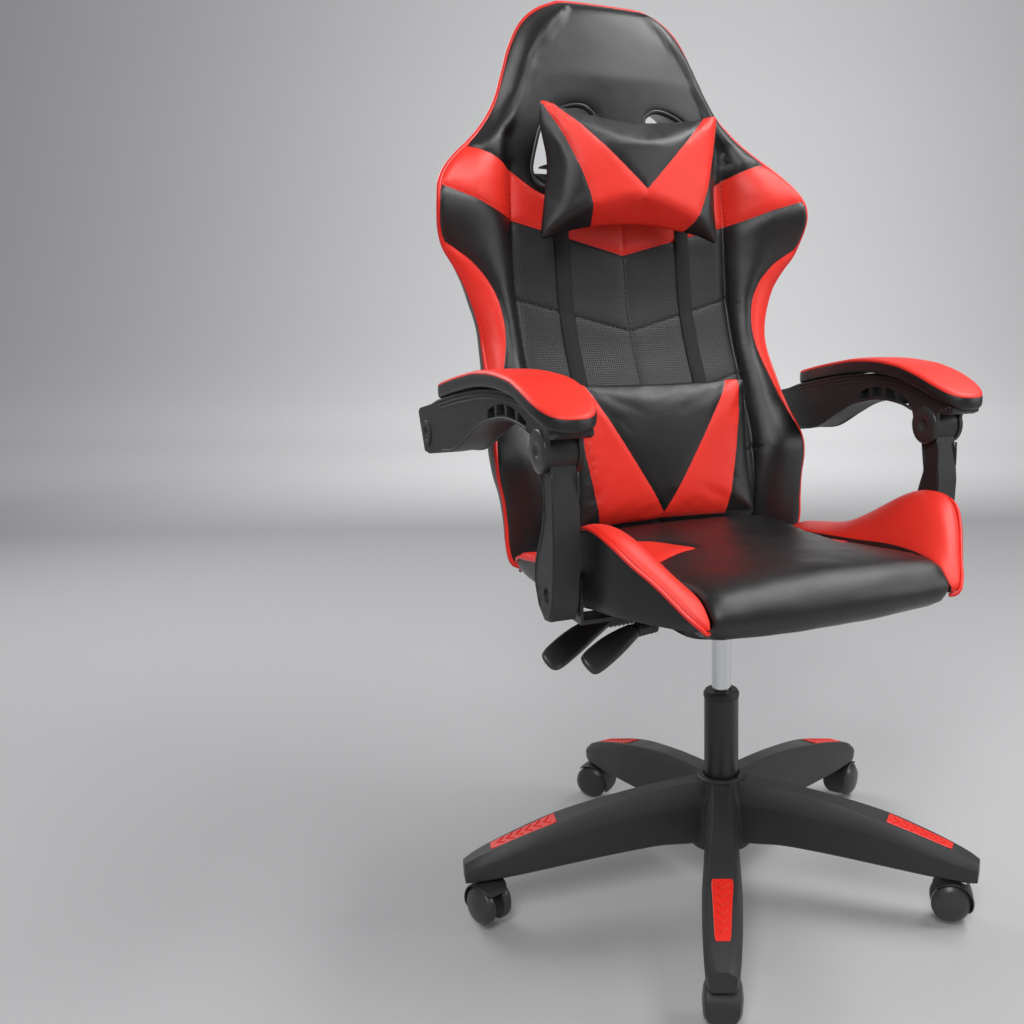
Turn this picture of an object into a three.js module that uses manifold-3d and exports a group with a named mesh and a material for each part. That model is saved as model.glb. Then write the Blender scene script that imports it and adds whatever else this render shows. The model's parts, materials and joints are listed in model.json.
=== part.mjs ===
// Gaming chair on a five-star caster base, built from its separate physical pieces.
// Millimetres, +Z up, the sitter faces -Y. Everything is modelled about the gas lift's
// axis, and the finished chair is shifted so that its bounding box is centred on the origin.
import * as THREE from 'three';
import { mergeVertices } from 'three/addons/utils/BufferGeometryUtils.js';
import Module from 'manifold-3d';

const wasm = await Module();
wasm.setup();

// ---- driving dimensions (mm) ----
const FRAME_SHIFT_Y = -50; // puts the bounding box centre over the origin
const GAP = 0.3; // clearance between touching pieces
const SIDES = [-1, 1];

const LEG_COUNT = 5;
const FIRST_LEG = THREE.MathUtils.degToRad(-28.84); // from -Y towards +X
const LEG_TOP = [[28, 164], [100, 160], [170, 150], [244, 134], [339, 104], [372, 92]];
const LEG_BOTTOM = [[28, 72], [100, 76], [170, 74], [244, 70], [339, 63], [374, 61.5]];
const LEG_HALF_TOP = [15, 13, 15, 19, 14, 12]; // half widths of the ridge at each station
const LEG_HALF_BELLY = [28, 23, 24, 26, 23, 20];
const LEG_POCKETS = [[70, 148], [156, 234], [242, 320]]; // hollows between the ribs under a leg
const HUB_RADIUS = 36;
const HUB_TOP = 168;
const TRIM_START = 246;
const TRIM_END = 338;
const TRIM_HALF = [14.5, 9.5];

const STEM_RADIUS = 5.5;
const STEM_ORBIT = 350;
const WHEEL_RADIUS = 27.5;
const CASTER_TRAIL = 13;
const CASTER_HEADING = [61, 145, 29, 130, 288]; // direction of trail, degrees from +X

const TUBE_RADIUS = 25;
const TUBE_BOTTOM = 58;
const TUBE_TOP = 286;
const COLUMN_RADIUS = 14;
const COLUMN_BOTTOM = 172;
const COLUMN_TOP = 404;
const BORE_RADIUS = 11;
const ROD_RADIUS = 5;

const TRAY_BOTTOM = 400; // pressed-steel housing under the seat
const TRAY = { half: 58, front: -66, rear: 115, sheet: 3 };
const SOCKET_Z = [385, 405]; // cup that takes the column's top end
const FLANGE_HALF = 108;
const BOARD_BOTTOM = 446;
const BOARD_THICKNESS = 12;
const BOARD = { half: 150, front: -206, rear: 108, corner: 40 };
const CUSHION_BASE = BOARD_BOTTOM + BOARD_THICKNESS + GAP;
const SEAT_HALF = 170;
const WING_OUTER = 258;
const CUSHION = [[-216, CUSHION_BASE], [-262, 465], [-283, 476], [-292, 492], [-287, 508], [-266, 521],
  [-200, 520], [-100, 511], [0, 506], [80, 508], [152, 512], [160, 500], [158, 478], [118, 470],
  [117, CUSHION_BASE]];
const WING = [ // y, inner x, outer x, top, crease against the cushion, lower edge
  [-286, 171, 182, 500, 496, 488], [-262, 171, 206, 524, 516, 486], [-225, 171, 236, 556, 521, 486],
  [-190, 171, WING_OUTER, 584, 521, 486], [-150, 171, WING_OUTER, 589, 518, 482],
  [-100, 171, WING_OUTER, 586, 512, 476], [-40, 171, 256, 550, 509, 470], [30, 171, 252, 520, 508, 467],
  [80, 171, 250, 507, 503, 466], [116, 171, 249, 500, 500, 465], [122, 224, 249, 498, 490, 465],
  [172, 224, 244, 482, 478, 465],
];

const ARM_X = 284; // middle of each armrest
const POST_PIVOT = [-106, 500]; // y, z of the post's lower bolt
const KNUCKLE = [-114, 676];
const ARM_REAR = [298, 655]; // rear bolt, through the armrest's end into the backrest
const RECLINE_PIVOT = [168, 405];
const PLATE_LEAN = THREE.MathUtils.degToRad(25); // lean of the backrest's lower rear face

// Backrest by height: half width, y of the edge piping, of the front and of the rear face, how far
// the side bolsters stand forward of the mean of edge and front, and how fast the sides draw in
// behind the piping.
const BACK = [
  { z: 466, half: 238, edge: 190, front: 196, rear: 214, bulge: 5, draw: 0 },
  { z: 472, half: 246, edge: 188, front: 196, rear: 217, bulge: 6, draw: 0 },
  { z: 500, half: 250, edge: 186, front: 197, rear: 230, bulge: 7, draw: 0 },
  { z: 545, half: 251, edge: 187, front: 198, rear: 251, bulge: 12, draw: 0 },
  { z: 610, half: 258, edge: 190, front: 208, rear: 290, bulge: 20, draw: 0 },
  { z: 700, half: 247, edge: 246, front: 250, rear: 344, bulge: 20, draw: 0 },
  { z: 790, half: 244, edge: 292, front: 294, rear: 370, bulge: 20, draw: 0 },
  { z: 860, half: 260, edge: 298, front: 314, rear: 388, bulge: 20, draw: 0.08 },
  { z: 930, half: 298, edge: 282, front: 320, rear: 398, bulge: 20, draw: 0.3 },
  { z: 985, half: 306, edge: 262, front: 324, rear: 404, bulge: 20, draw: 0.34 },
  { z: 1045, half: 270, edge: 296, front: 328, rear: 410, bulge: 20, draw: 0.32 },
  { z: 1105, half: 208, edge: 340, front: 334, rear: 416, bulge: 20, draw: 0.25 },
  { z: 1180, half: 168, edge: 378, front: 348, rear: 430, bulge: 20, draw: 0.25 },
  { z: 1250, half: 136, edge: 390, front: 362, rear: 436, bulge: 20, draw: 0.25 },
  { z: 1285, half: 98, edge: 392, front: 374, rear: 428, bulge: 20, draw: 0.25 },
  { z: 1297, half: 56, edge: 393, front: 384, rear: 410, bulge: 20, draw: 0.25 },
];
// Centre line of the bent tube inside the backrest, +X half, as [x, z].
const FRAME_TUBE = [[176, 540], [186, 600], [188, 700], [188, 860], [184, 960], [177, 1045], [154, 1110],
  [124, 1175], [84, 1225]];
const FRAME_TOP = 1240;
// Opening for the harness on the +X side, and the bezel that lines it.
const HARNESS = [[38, 1126], [58, 1141], [116, 1120], [131, 1097], [145, 1047], [143, 1028], [124, 1014],
  [56, 1014], [40, 1028]];
const BEZEL_WALL = 3;

// Levers: centre line of the steel rod, then of the moulded paddle on its end.
const LEVER_Z = 418;
const HEIGHT_LEVER = [[4, 1, 415], [-60, -15, 416], [-120, -30, LEVER_Z], [-152, -38, LEVER_Z]];
const RECLINE_LEVER = [[-40, 30, LEVER_Z], [-70, 28, LEVER_Z], [-110, 25, LEVER_Z], [-172, 20, LEVER_Z]];
const HEIGHT_PADDLE = [[-152, -38, LEVER_Z], [-176, -45, 410], [-200, -52, 400], [-232, -62, 387]];
const RECLINE_PADDLE = [[-172, 20, LEVER_Z], [-205, 2, 413], [-236, -18, 406], [-280, -44, 394]];
const PADDLE_HALF = [9, 14, 17, 12];
const PADDLE_THICK = [8, 6, 5, 4];
const PADDLE_ROLL = THREE.MathUtils.degToRad(50); // the paddles' flat faces look forward and up

// Ears of the seat board that carry the armrest posts.
const POST_EAR = { y: [-124, -86], x: [259.5, 263.5], top: 520 };
// The ear's tab leaves the board's edge and cranks up under the side wing.
const EAR_TAB = { inner: 140, z: [452, 457.6], step: [171.5, 177], rise: 10.4 };
const PLATE_HALF = 28;
const PLATE_OFF = 17.2; // front face of the plate, off the recline shaft
const PLATE_BOLTS = [[-17, 100], [17, 100], [-17, 150], [17, 150]]; // x, distance along the plate

const HEAD_PILLOW = { width: 282, height: 184, depth: 84, centre: [273, 1034], lean: 0.07, taper: 0 };
const LUMBAR_PILLOW = { width: 286, height: 214, depth: 38, centre: [187, 618], lean: 0.17, taper: 0 };
const STRAP_X = 103; // middle of each lumbar strap
const STRAP_WIDTH = 25;
const STRAP_THICKNESS = 3;
const HEAD_STRAP_HALF = 92;
const HEAD_STRAP_Z = [1040, 1064];

const PAD = [ // y, top of the pad, half width
  [-185, 722, 13], [-178, 723, 23], [-164, 729, 33], [-140, 738, 38], [-104, 750, 40], [-50, 760, 38],
  [20, 761, 34], [100, 754, 30], [170, 743, 26], [236, 731, 22], [256, 727, 13],
];
const PAD_THICKNESS = 21;
const BEAM_FRONT = -172; // front end of the carrier under the pad
const BEAM_REAR = 240; // where its top leaves the pad
const BEAM_NOSE = [[BEAM_FRONT, 698], [-162, 694], [-150, 694], [-138, 697], [-120, 698]];
const BEAM_LOWER = [[-86, 694], [-60, 700], [-20, 703], [20, 700], [68, 690], [113, 672], [177, 644],
  [290, 626], [312, 628], [332, 684]];
const TOE_START = -82; // behind the knuckle the armrests spread apart
const TOE = 0.06;
const POST = [[-132, 664], [-141, 600], [-138, 545], [-130, 495], [-118, 470], [-98, 468], [-78, 482],
  [-66, 512], [-72, 540], [-94, 575], [-107, 610], [-98, 664]];

// ---- materials ----
const plastic = finish(0x1c1d1e, 0.55, 0);
const steelBlack = finish(0x17181a, 0.42, 0.6);
const chrome = finish(0xdadcde, 0.12, 1);
const zinc = finish(0xb9bcc0, 0.3, 1);
const redPlastic = finish(0xe0261c, 0.4, 0);
const leatherBlack = finish(0x191a1b, 0.48, 0);
const leatherRed = finish(0xe52a1e, 0.45, 0);
const webbing = finish(0x141415, 0.85, 0);

function finish(color, roughness, metalness) {
  return new THREE.MeshStandardMaterial({ color, roughness, metalness });
}

// ---- solids ----
function toSolid(geometry) {
  const plain = geometry.clone();
  plain.deleteAttribute('normal');
  plain.deleteAttribute('uv');
  const merged = mergeVertices(plain, 1e-4);
  const triVerts = merged.index ? new Uint32Array(merged.index.array) : undefined;
  return new wasm.Manifold(new wasm.Mesh({
    numProp: 3, vertProperties: new Float32Array(merged.attributes.position.array), triVerts,
  }));
}

function toGeometry(solid) {
  const mesh = solid.getMesh();
  const geometry = new THREE.BufferGeometry();
  geometry.setAttribute('position', new THREE.BufferAttribute(new Float32Array(mesh.vertProperties), 3));
  geometry.setIndex(new THREE.BufferAttribute(new Uint32Array(mesh.triVerts), 1));
  geometry.computeVertexNormals();
  return geometry;
}

function join(...geometries) {
  return toGeometry(geometries.map(toSolid).reduce((sum, next) => sum.add(next)));
}

function cut(geometry, ...tools) {
  return toGeometry(tools.map(toSolid).reduce((rest, tool) => rest.subtract(tool), toSolid(geometry)));
}

// Closed skin over a list of rings that hold the same number of points.
function loft(rings) {
  const count = rings[0].length;
  const last = rings.length - 1;
  const index = [];
  for (let ring = 0; ring < last; ring += 1) {
    for (let i = 0; i < count; i += 1) {
      const a = ring * count + i;
      const b = ring * count + ((i + 1) % count);
      index.push(a, b, a + count, b, b + count, a + count);
    }
  }
  capTriangles(rings[0]).forEach(([a, b, c]) => index.push(c, b, a));
  capTriangles(rings[last]).forEach((corners) => index.push(...corners.map((i) => last * count + i)));
  const geometry = new THREE.BufferGeometry();
  geometry.setAttribute('position', new THREE.Float32BufferAttribute(rings.flat(2), 3));
  geometry.setIndex(index);
  return outward(geometry);
}

// Triangles that close a flat ring, each with its corners in the ring's own order.
function capTriangles(ring) {
  const extent = [0, 1, 2].map((axis) => {
    const values = ring.map((p) => p[axis]);
    return Math.max(...values) - Math.min(...values);
  });
  const across = extent.indexOf(Math.min(...extent));
  const flat = ring.map((p) => new THREE.Vector2(...p.filter((_, axis) => axis !== across)));
  return THREE.ShapeUtils.triangulateShape(flat, []).map((corners) => [...corners].sort((a, b) => a - b));
}

// Turns a closed skin's faces outward if its volume comes out negative.
function outward(geometry) {
  const p = geometry.attributes.position;
  const index = Array.from(geometry.index.array);
  const [a, b, c] = [new THREE.Vector3(), new THREE.Vector3(), new THREE.Vector3()];
  let volume = 0;
  for (let i = 0; i < index.length; i += 3) {
    a.fromBufferAttribute(p, index[i]);
    b.fromBufferAttribute(p, index[i + 1]);
    c.fromBufferAttribute(p, index[i + 2]);
    volume += a.dot(b.cross(c));
  }
  geometry.setIndex(volume < 0 ? index.reverse() : index);
  geometry.computeVertexNormals();
  return geometry;
}

function box(x0, x1, y0, y1, z0, z1) {
  return new THREE.BoxGeometry(x1 - x0, y1 - y0, z1 - z0)
    .translate((x0 + x1) / 2, (y0 + y1) / 2, (z0 + z1) / 2);
}

// Outline of [y, z] points, extruded from x0 to x1.
function alongX(outline, x0, x1) {
  const basis = [[0, 1, 0], [0, 0, 1], [1, 0, 0]].map((axis) => new THREE.Vector3(...axis));
  return extruded(outline, x0, x1).applyMatrix4(new THREE.Matrix4().makeBasis(...basis));
}

// Outline of [x, z] points, extruded from y0 to y1.
function alongY(outline, y0, y1) {
  return extruded(outline, -y1, -y0).rotateX(Math.PI / 2);
}

// Outline of [x, y] points, extruded along +Z.
function extruded(outline, z0, z1) {
  const shape = new THREE.Shape(outline.map(([a, b]) => new THREE.Vector2(a, b)));
  return new THREE.ExtrudeGeometry(shape, { depth: z1 - z0, bevelEnabled: false }).translate(0, 0, z0);
}

function circle(radius, centre = [0, 0], segments = 20) {
  return Array.from({ length: segments }, (_, i) => {
    const angle = (2 * Math.PI * i) / segments;
    return [centre[0] + radius * Math.cos(angle), centre[1] + radius * Math.sin(angle)];
  });
}

// Turned about +Z; a profile of [radius, z] that starts and ends on the axis or closes on itself.
function turned(profile, segments = 24) {
  const geometry = new THREE.LatheGeometry(profile.map(([r, z]) => new THREE.Vector2(r, z)), segments);
  const merged = mergeVertices(stripped(geometry.rotateX(Math.PI / 2)), 1e-4);
  const index = Array.from(merged.index.array);
  const whole = [];
  for (let i = 0; i < index.length; i += 3) {
    const [a, b, c] = index.slice(i, i + 3);
    if (a !== b && b !== c && c !== a) whole.push(a, b, c);
  }
  merged.setIndex(whole);
  return outward(merged);
}

function stripped(geometry) {
  geometry.deleteAttribute('normal');
  geometry.deleteAttribute('uv');
  return geometry;
}

function sleeve(outer, inner, z0, z1, segments = 24) {
  return turned([[inner, z0], [outer, z0], [outer, z1], [inner, z1], [inner, z0]], segments);
}

// Round rod between two points.
function rod(from, to, radius, segments = 12) {
  const start = new THREE.Vector3(...from);
  const along = new THREE.Vector3(...to).sub(start);
  const turn = new THREE.Quaternion().setFromUnitVectors(new THREE.Vector3(0, 1, 0),
    along.clone().normalize());
  return new THREE.CylinderGeometry(radius, radius, along.length(), segments)
    .applyQuaternion(turn).translate(...start.addScaledVector(along, 0.5).toArray());
}

// Tube that follows a smooth curve through the points.
function tubeAlong(points, radius, steps, sides) {
  const path = new THREE.CatmullRomCurve3(points.map((p) => new THREE.Vector3(...p)), false, 'centripetal');
  const section = new THREE.Shape(circle(radius, [0, 0], sides).map(([x, y]) => new THREE.Vector2(x, y)));
  return new THREE.ExtrudeGeometry(section, { steps, bevelEnabled: false, extrudePath: path });
}

function mirrored(points, side) {
  return points.map(([a, b]) => [a * side, b]);
}

const chair = new THREE.Group();
chair.position.y = FRAME_SHIFT_Y;

// Adds a named piece and returns it.
function add(name, geometry, material, parent = chair) {
  const mesh = new THREE.Mesh(geometry, material);
  mesh.name = name;
  parent.add(mesh);
  return mesh;
}

// ---- star base ----
function legRing(i) {
  const [r, top] = LEG_TOP[i];
  const [rBottom, bottom] = LEG_BOTTOM[i];
  const ridge = LEG_HALF_TOP[i];
  const belly = LEG_HALF_BELLY[i];
  const waist = top - 0.4 * (top - bottom);
  return [[r, ridge, top], [r, belly - 2, waist], [rBottom, belly - 3, bottom],
    [rBottom, 3 - belly, bottom], [r, 2 - belly, waist], [r, -ridge, top]];
}

function legSolid() {
  const leg = loft(LEG_TOP.map((_, i) => legRing(i)));
  return cut(leg, trimSolid(GAP, 101), ...LEG_POCKETS.map(([a, b]) => box(a, b, -15, 15, 50, 96)),
    rod([STEM_ORBIT, 0, 50], [STEM_ORBIT, 0, 86], STEM_RADIUS + GAP));
}

// Insert that lies in the ridge; `grow` enlarges it for the recess.
function trimSolid(grow, thickness = 4) {
  const slope = (LEG_TOP[4][1] - LEG_TOP[3][1]) / (LEG_TOP[4][0] - LEG_TOP[3][0]);
  const rings = [TRIM_START - grow, TRIM_END + grow].map((r, i) => {
    const top = LEG_TOP[3][1] + slope * (r - LEG_TOP[3][0]);
    const half = TRIM_HALF[i] + grow;
    const upper = [[half, thickness - 1], [half - 1.2, thickness], [1.2 - half, thickness],
      [-half, thickness - 1]];
    return [[half, -grow], ...upper, [-half, -grow]].map(([side, lift]) => [r, side, top - 3 + lift]);
  });
  return loft(rings);
}

function makeBase() {
  const hub = turned([[0, 62], [46, 62], [48, 80], [42, 140], [HUB_RADIUS, 152], [HUB_RADIUS, HUB_TOP],
    [0, HUB_TOP]], 24);
  const turns = Array.from({ length: LEG_COUNT }, (_, k) => legAngle(k));
  const legs = turns.map((angle) => legSolid().rotateZ(angle));
  const bore = rod([0, 0, 50], [0, 0, 180], TUBE_RADIUS + GAP, 24);
  add('star_base', cut(join(hub, ...legs), bore), plastic);
  turns.forEach((angle, k) => {
    add(`foot_trim_${k + 1}`, trimSolid(0), redPlastic).rotation.z = angle;
  });
}

function legAngle(k) {
  return FIRST_LEG - Math.PI / 2 + (2 * Math.PI * k) / LEG_COUNT;
}

// ---- casters ----
function hoodSolid() {
  const inner = WHEEL_RADIUS + 1.2;
  const outer = WHEEL_RADIUS + 3.6;
  const from = THREE.MathUtils.degToRad(215);
  const to = THREE.MathUtils.degToRad(42);
  const arc = (radius, a, b) => Array.from({ length: 9 }, (_, i) => {
    const angle = a + ((b - a) * i) / 8;
    return [CASTER_TRAIL + radius * Math.cos(angle), WHEEL_RADIUS + radius * Math.sin(angle)];
  });
  const shell = alongY([...arc(outer, from, to), ...arc(inner, to, from)], -20, 20);
  const web = alongY([...arc(inner + 1, from, to), [CASTER_TRAIL + 8, WHEEL_RADIUS - 8],
    [CASTER_TRAIL - 8, WHEEL_RADIUS - 10]], -3.5, 3.5);
  const neck = rod([0, 0, 40], [0, 0, 59.6], 9, 10);
  const stem = rod([0, 0, 58], [0, 0, 84], STEM_RADIUS, 10);
  const axleHole = rod([CASTER_TRAIL, -10, WHEEL_RADIUS], [CASTER_TRAIL, 10, WHEEL_RADIUS], 3.5, 8);
  const wheelRoom = [-1, 1].map((side) => rod([CASTER_TRAIL, side * 3.5, WHEEL_RADIUS],
    [CASTER_TRAIL, side * 30, WHEEL_RADIUS], inner, 20));
  return cut(join(shell, web, cut(neck, ...wheelRoom), stem), axleHole);
}

function wheelPair() {
  const half = [[0, 27], [18, 25.8], [25, 22.6], [WHEEL_RADIUS, 19], [WHEEL_RADIUS, 6], [3, 4.4]];
  const profile = [...half, ...half.map(([r, y]) => [r, -y]).reverse()];
  return turned(profile, 20).rotateX(Math.PI / 2).translate(CASTER_TRAIL, 0, WHEEL_RADIUS);
}

function makeCasters() {
  for (let k = 0; k < LEG_COUNT; k += 1) {
    const caster = new THREE.Group();
    caster.position.set(STEM_ORBIT * Math.cos(legAngle(k)), STEM_ORBIT * Math.sin(legAngle(k)), 0);
    caster.rotation.z = THREE.MathUtils.degToRad(CASTER_HEADING[k]);
    chair.add(caster);
    add(`caster_hood_${k + 1}`, hoodSolid(), plastic, caster);
    add(`caster_wheels_${k + 1}`, wheelPair(), plastic, caster);
  }
}

// ---- gas lift ----
function makeLift() {
  const wall = TUBE_RADIUS - 2;
  add('lift_outer_tube', turned([[7, TUBE_BOTTOM], [TUBE_RADIUS - 1, TUBE_BOTTOM],
    [TUBE_RADIUS, TUBE_BOTTOM + 6], [TUBE_RADIUS, TUBE_TOP], [wall, TUBE_TOP], [wall, TUBE_BOTTOM + 5],
    [7, TUBE_BOTTOM + 5], [7, TUBE_BOTTOM]]), steelBlack);
  add('lift_guide_bush', turned([[COLUMN_RADIUS + GAP, 216], [wall - GAP, 216], [wall - GAP, TUBE_TOP + GAP],
    [TUBE_RADIUS + 1, TUBE_TOP + GAP], [TUBE_RADIUS + 1, 292], [23, 297], [COLUMN_RADIUS + GAP, 297],
    [COLUMN_RADIUS + GAP, 216]]), plastic);
  add('lift_column', turned([[ROD_RADIUS + GAP, COLUMN_BOTTOM], [COLUMN_RADIUS, COLUMN_BOTTOM],
    [COLUMN_RADIUS, 384], [COLUMN_RADIUS - 0.7, COLUMN_TOP], [3.4, COLUMN_TOP], [3.4, 380], [0, 380],
    [0, 368], [BORE_RADIUS, 368], [BORE_RADIUS, COLUMN_BOTTOM + 8],
    [ROD_RADIUS + GAP, COLUMN_BOTTOM + 8], [ROD_RADIUS + GAP, COLUMN_BOTTOM]]), chrome);
  add('lift_piston_rod', turned([[0, 66], [ROD_RADIUS, 66], [ROD_RADIUS, 226], [BORE_RADIUS - GAP, 226],
    [BORE_RADIUS - GAP, 238], [0, 238]], 20), zinc);
  add('lift_thrust_bearing', sleeve(16, ROD_RADIUS + GAP, TUBE_BOTTOM + 5 + GAP, 70, 20), zinc);
  add('lift_valve_pin', turned([[0, 384], [3, 384], [3, 410], [0, 410]], 12), zinc);
}

// ---- tilt mechanism and levers ----
function makeMechanism() {
  const { half, front, rear, sheet } = TRAY;
  const top = BOARD_BOTTOM - GAP;
  const outer = box(-half, half, front, rear, TRAY_BOTTOM, top);
  const flange = box(-FLANGE_HALF, FLANGE_HALF, front - 15, rear + 1, top - sheet, top);
  const socket = rod([0, 0, SOCKET_Z[0]], [0, 0, SOCKET_Z[1]], 24, 24);
  const inner = box(sheet - half, half - sheet, front + sheet, rear - sheet, TRAY_BOTTOM + sheet, top + 10);
  const tray = join(cut(join(outer, flange), inner), socket);
  const bore = turned([[0, 380], [COLUMN_RADIUS + GAP, 380], [COLUMN_RADIUS + GAP, 410], [0, 410]]);
  const slots = [HEIGHT_LEVER, RECLINE_LEVER].map((path) => {
    const [, y] = pointAtX(path, -half);
    return box(-half - 8, 8 - half, y - 9, y + 9, LEVER_Z - 12, LEVER_Z + 12);
  });
  add('tilt_housing', cut(tray, bore, ...slots), steelBlack);
  const [py, pz] = RECLINE_PIVOT;
  const arm = alongX([[115.4, 396], [py - 10, 392], [py, 391], [py + 6, 398], [py, 419], [py - 18, 421],
    [115.4, 432]], -22, 22);
  const eye = alongX(circle(15, RECLINE_PIVOT), -22, 22);
  add('recline_support_arm', cut(join(arm, eye), shaftHole()), steelBlack);
  const head = (side) => rod([side * 33.4, py, pz], [side * 37, py, pz], 9);
  add('recline_shaft', join(rod([-34, py, pz], [34, py, pz], 6), head(-1), head(1)), zinc);
}

function shaftHole() {
  return rod([-50, ...RECLINE_PIVOT], [50, ...RECLINE_PIVOT], 6 + GAP);
}

function pointAtX(path, x) {
  const i = path.findIndex((p) => p[0] < x);
  const [a, b] = [path[i - 1], path[i]];
  const t = (x - a[0]) / (b[0] - a[0]);
  return a.map((value, axis) => value + t * (b[axis] - value));
}

// Steel rod, and a moulded handle with a ribbed sleeve and a flat paddle pushed over its end.
function makeLever(name, path, paddle) {
  const overlap = path.length - 2;
  const steel = tubeAlong(path, 4, 6, 8);
  const rings = paddle.map(([x, y, z], i) => {
    const half = PADDLE_HALF[i];
    const thick = PADDLE_THICK[i];
    const [c, s] = [Math.cos(PADDLE_ROLL), Math.sin(PADDLE_ROLL)];
    return [[-half, -thick], [-half, thick], [0, thick + 1], [half, thick], [half, -thick], [0, -thick - 1]]
      .map(([across, off]) => [x, y + across * c - off * s, z + across * s + off * c]);
  });
  const sleeveStart = path[overlap];
  const sleevePath = [sleeveStart, path[overlap + 1].map((v, i) => (v + sleeveStart[i]) / 2),
    path[overlap + 1]];
  const handle = join(tubeAlong(sleevePath, 7.5, 3, 10), loft(rings));
  add(`${name}_rod`, steel, zinc);
  const tip = path[overlap + 1];
  const beyond = tip.map((value, i) => value + 0.02 * (value - sleeveStart[i]));
  add(`${name}_handle`, cut(handle, tubeAlong([...path.slice(0, -1), beyond], 5, 12, 8)), plastic);
}

// ---- seat ----
function makeSeat() {
  const shape = new THREE.Shape();
  const { half: w, front, rear, corner } = BOARD;
  shape.moveTo(-w, front + corner).quadraticCurveTo(-w, front, corner - w, front)
    .lineTo(w - corner, front).quadraticCurveTo(w, front, w, front + corner)
    .lineTo(w, rear).lineTo(-w, rear).closePath();
  const settings = { depth: BOARD_THICKNESS, bevelEnabled: false, curveSegments: 6 };
  const plate = new THREE.ExtrudeGeometry(shape, settings).translate(0, 0, BOARD_BOTTOM);
  const ears = SIDES.flatMap((side) => {
    const [y0, y1] = POST_EAR.y;
    const x = POST_EAR.x.map((v) => v * side).sort((a, b) => a - b);
    const { inner, z: [low, high], step, rise } = EAR_TAB;
    const reach = (a, b) => [side * a, side * b].sort((p, q) => p - q);
    return [box(...reach(inner, step[1]), y0, y1, low, high),
      box(...reach(...step), y0, y1, low, high + rise),
      box(...reach(step[0], POST_EAR.x[1]), y0, y1, low + rise, high + rise),
      box(...x, y0, y1, low + rise, POST_EAR.top)];
  });
  const holes = SIDES.map((side) => rod([side * 250, ...POST_PIVOT], [side * 270, ...POST_PIVOT], 5.3));
  add('seat_base', cut(join(plate, ...ears), ...holes), steelBlack);

  add('seat_cushion', alongX(CUSHION, -SEAT_HALF, SEAT_HALF), leatherBlack);
  SIDES.forEach((side) => add(`seat_bolster_${sideName(side)}`, bolsterSolid(side), leatherRed));
}

function bolsterSolid(side) {
  return loft(WING.map(([y, inner, outer, top, crease, low]) => {
    const base = Math.max(CUSHION_BASE + 1.2, Math.min(low - 6, low - 0.5 * (-230 - y)));
    return [[inner, base], [inner + 0.4 * (outer - inner), base], [outer - 5, low - 2], [outer, low + 4],
      [outer, top - 6], [outer - 7, top], [inner + 0.45 * (outer - inner), top - 4], [inner, crease]]
      .map(([x, z]) => [x * side, y, z]);
  }));
}

// Sides as the sitter has them: the sitter's left hand is on +X.
function sideName(side) {
  return side > 0 ? 'left' : 'right';
}

// ---- backrest ----
function backAt(z) {
  const next = Math.max(1, BACK.findIndex((row) => row.z >= z));
  const [a, b] = [BACK[next - 1], BACK[next]];
  const t = (z - a.z) / (b.z - a.z);
  return Object.fromEntries(Object.keys(a).map((key) => [key, a[key] + t * (b[key] - a[key])]));
}

function partingOf({ front, rear }) {
  return front + 0.45 * (rear - front);
}

function frontRing(row) {
  const { z, half, edge, front, bulge } = row;
  const seam = Math.min(180, 0.72 * half);
  const crest = Math.min((edge + front) / 2 - bulge, front - 3);
  const lip = Math.min(13, bulge);
  const outer = [[half, edge - GAP], [half - 5, edge - lip], [(seam + half) / 2, crest], [seam, front]];
  const parting = partingOf(row) - GAP;
  return [...outer, ...mirrored(outer, -1).reverse(), [-0.8 * half, parting], [0.8 * half, parting]]
    .map(([x, y]) => [x, y, z]);
}

function rearRing(row) {
  const { z, half, edge, rear, draw } = row;
  const depth = rear - edge;
  const outer = [[0.8 * half - 0.5 * draw * depth, rear],
    [half - 7 - 0.9 * draw * depth, edge + 0.93 * depth],
    [half - 0.5 * draw * depth, edge + 0.5 * depth], [half, edge + GAP]];
  const parting = partingOf(row) + GAP;
  return [...mirrored(outer, -1), [-0.8 * half, parting], [0.8 * half, parting], ...outer.reverse()]
    .map(([x, y]) => [x, y, z]);
}

// Point given along and off the leaning plate that carries the backrest, as [y, z].
function leaning(along, off) {
  const [c, s] = [Math.cos(PLATE_LEAN), Math.sin(PLATE_LEAN)];
  return [RECLINE_PIVOT[0] + along * s + off * c, RECLINE_PIVOT[1] + along * c - off * s];
}

function plateBolts(radius, from, to) {
  return PLATE_BOLTS.map(([x, along]) => rod([x, ...leaning(along, from)], [x, ...leaning(along, to)],
    radius, 8));
}

function frameTube(grow) {
  const half = FRAME_TUBE.map(([x, z]) => [x, partingOf(backAt(z)), z]);
  const otherHalf = half.map(([x, y, z]) => [-x, y, z]).reverse();
  const path = [...half, [0, partingOf(backAt(FRAME_TOP)), FRAME_TOP], ...otherHalf];
  return tubeAlong(path, 9 + grow, 26, 6);
}

// Lower cross member, the struts up to the tube, and the side lugs that the armrests bolt to.
function frameBrackets(grow) {
  const cross = alongX([leaning(88 - grow, 6 - grow), leaning(88 - grow, 11 + grow),
    leaning(186 + grow, 11 + grow), leaning(186 + grow, 6 - grow)], -184 - grow, 184 + grow);
  const [y, z] = ARM_REAR;
  const reach = (side, a, b) => [side * (a - grow), side * (b + grow)].sort((p, q) => p - q);
  const struts = SIDES.map((side) => box(...reach(side, 170, 182), 213 - grow, 241 + grow, 532 - grow,
    556 + grow));
  const lugs = SIDES.map((side) => box(...reach(side, 182, 234), y - 46 - grow, y + 11 + grow,
    z - 10 - grow, z + 10 + grow));
  return [cross, ...struts, ...lugs];
}

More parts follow.
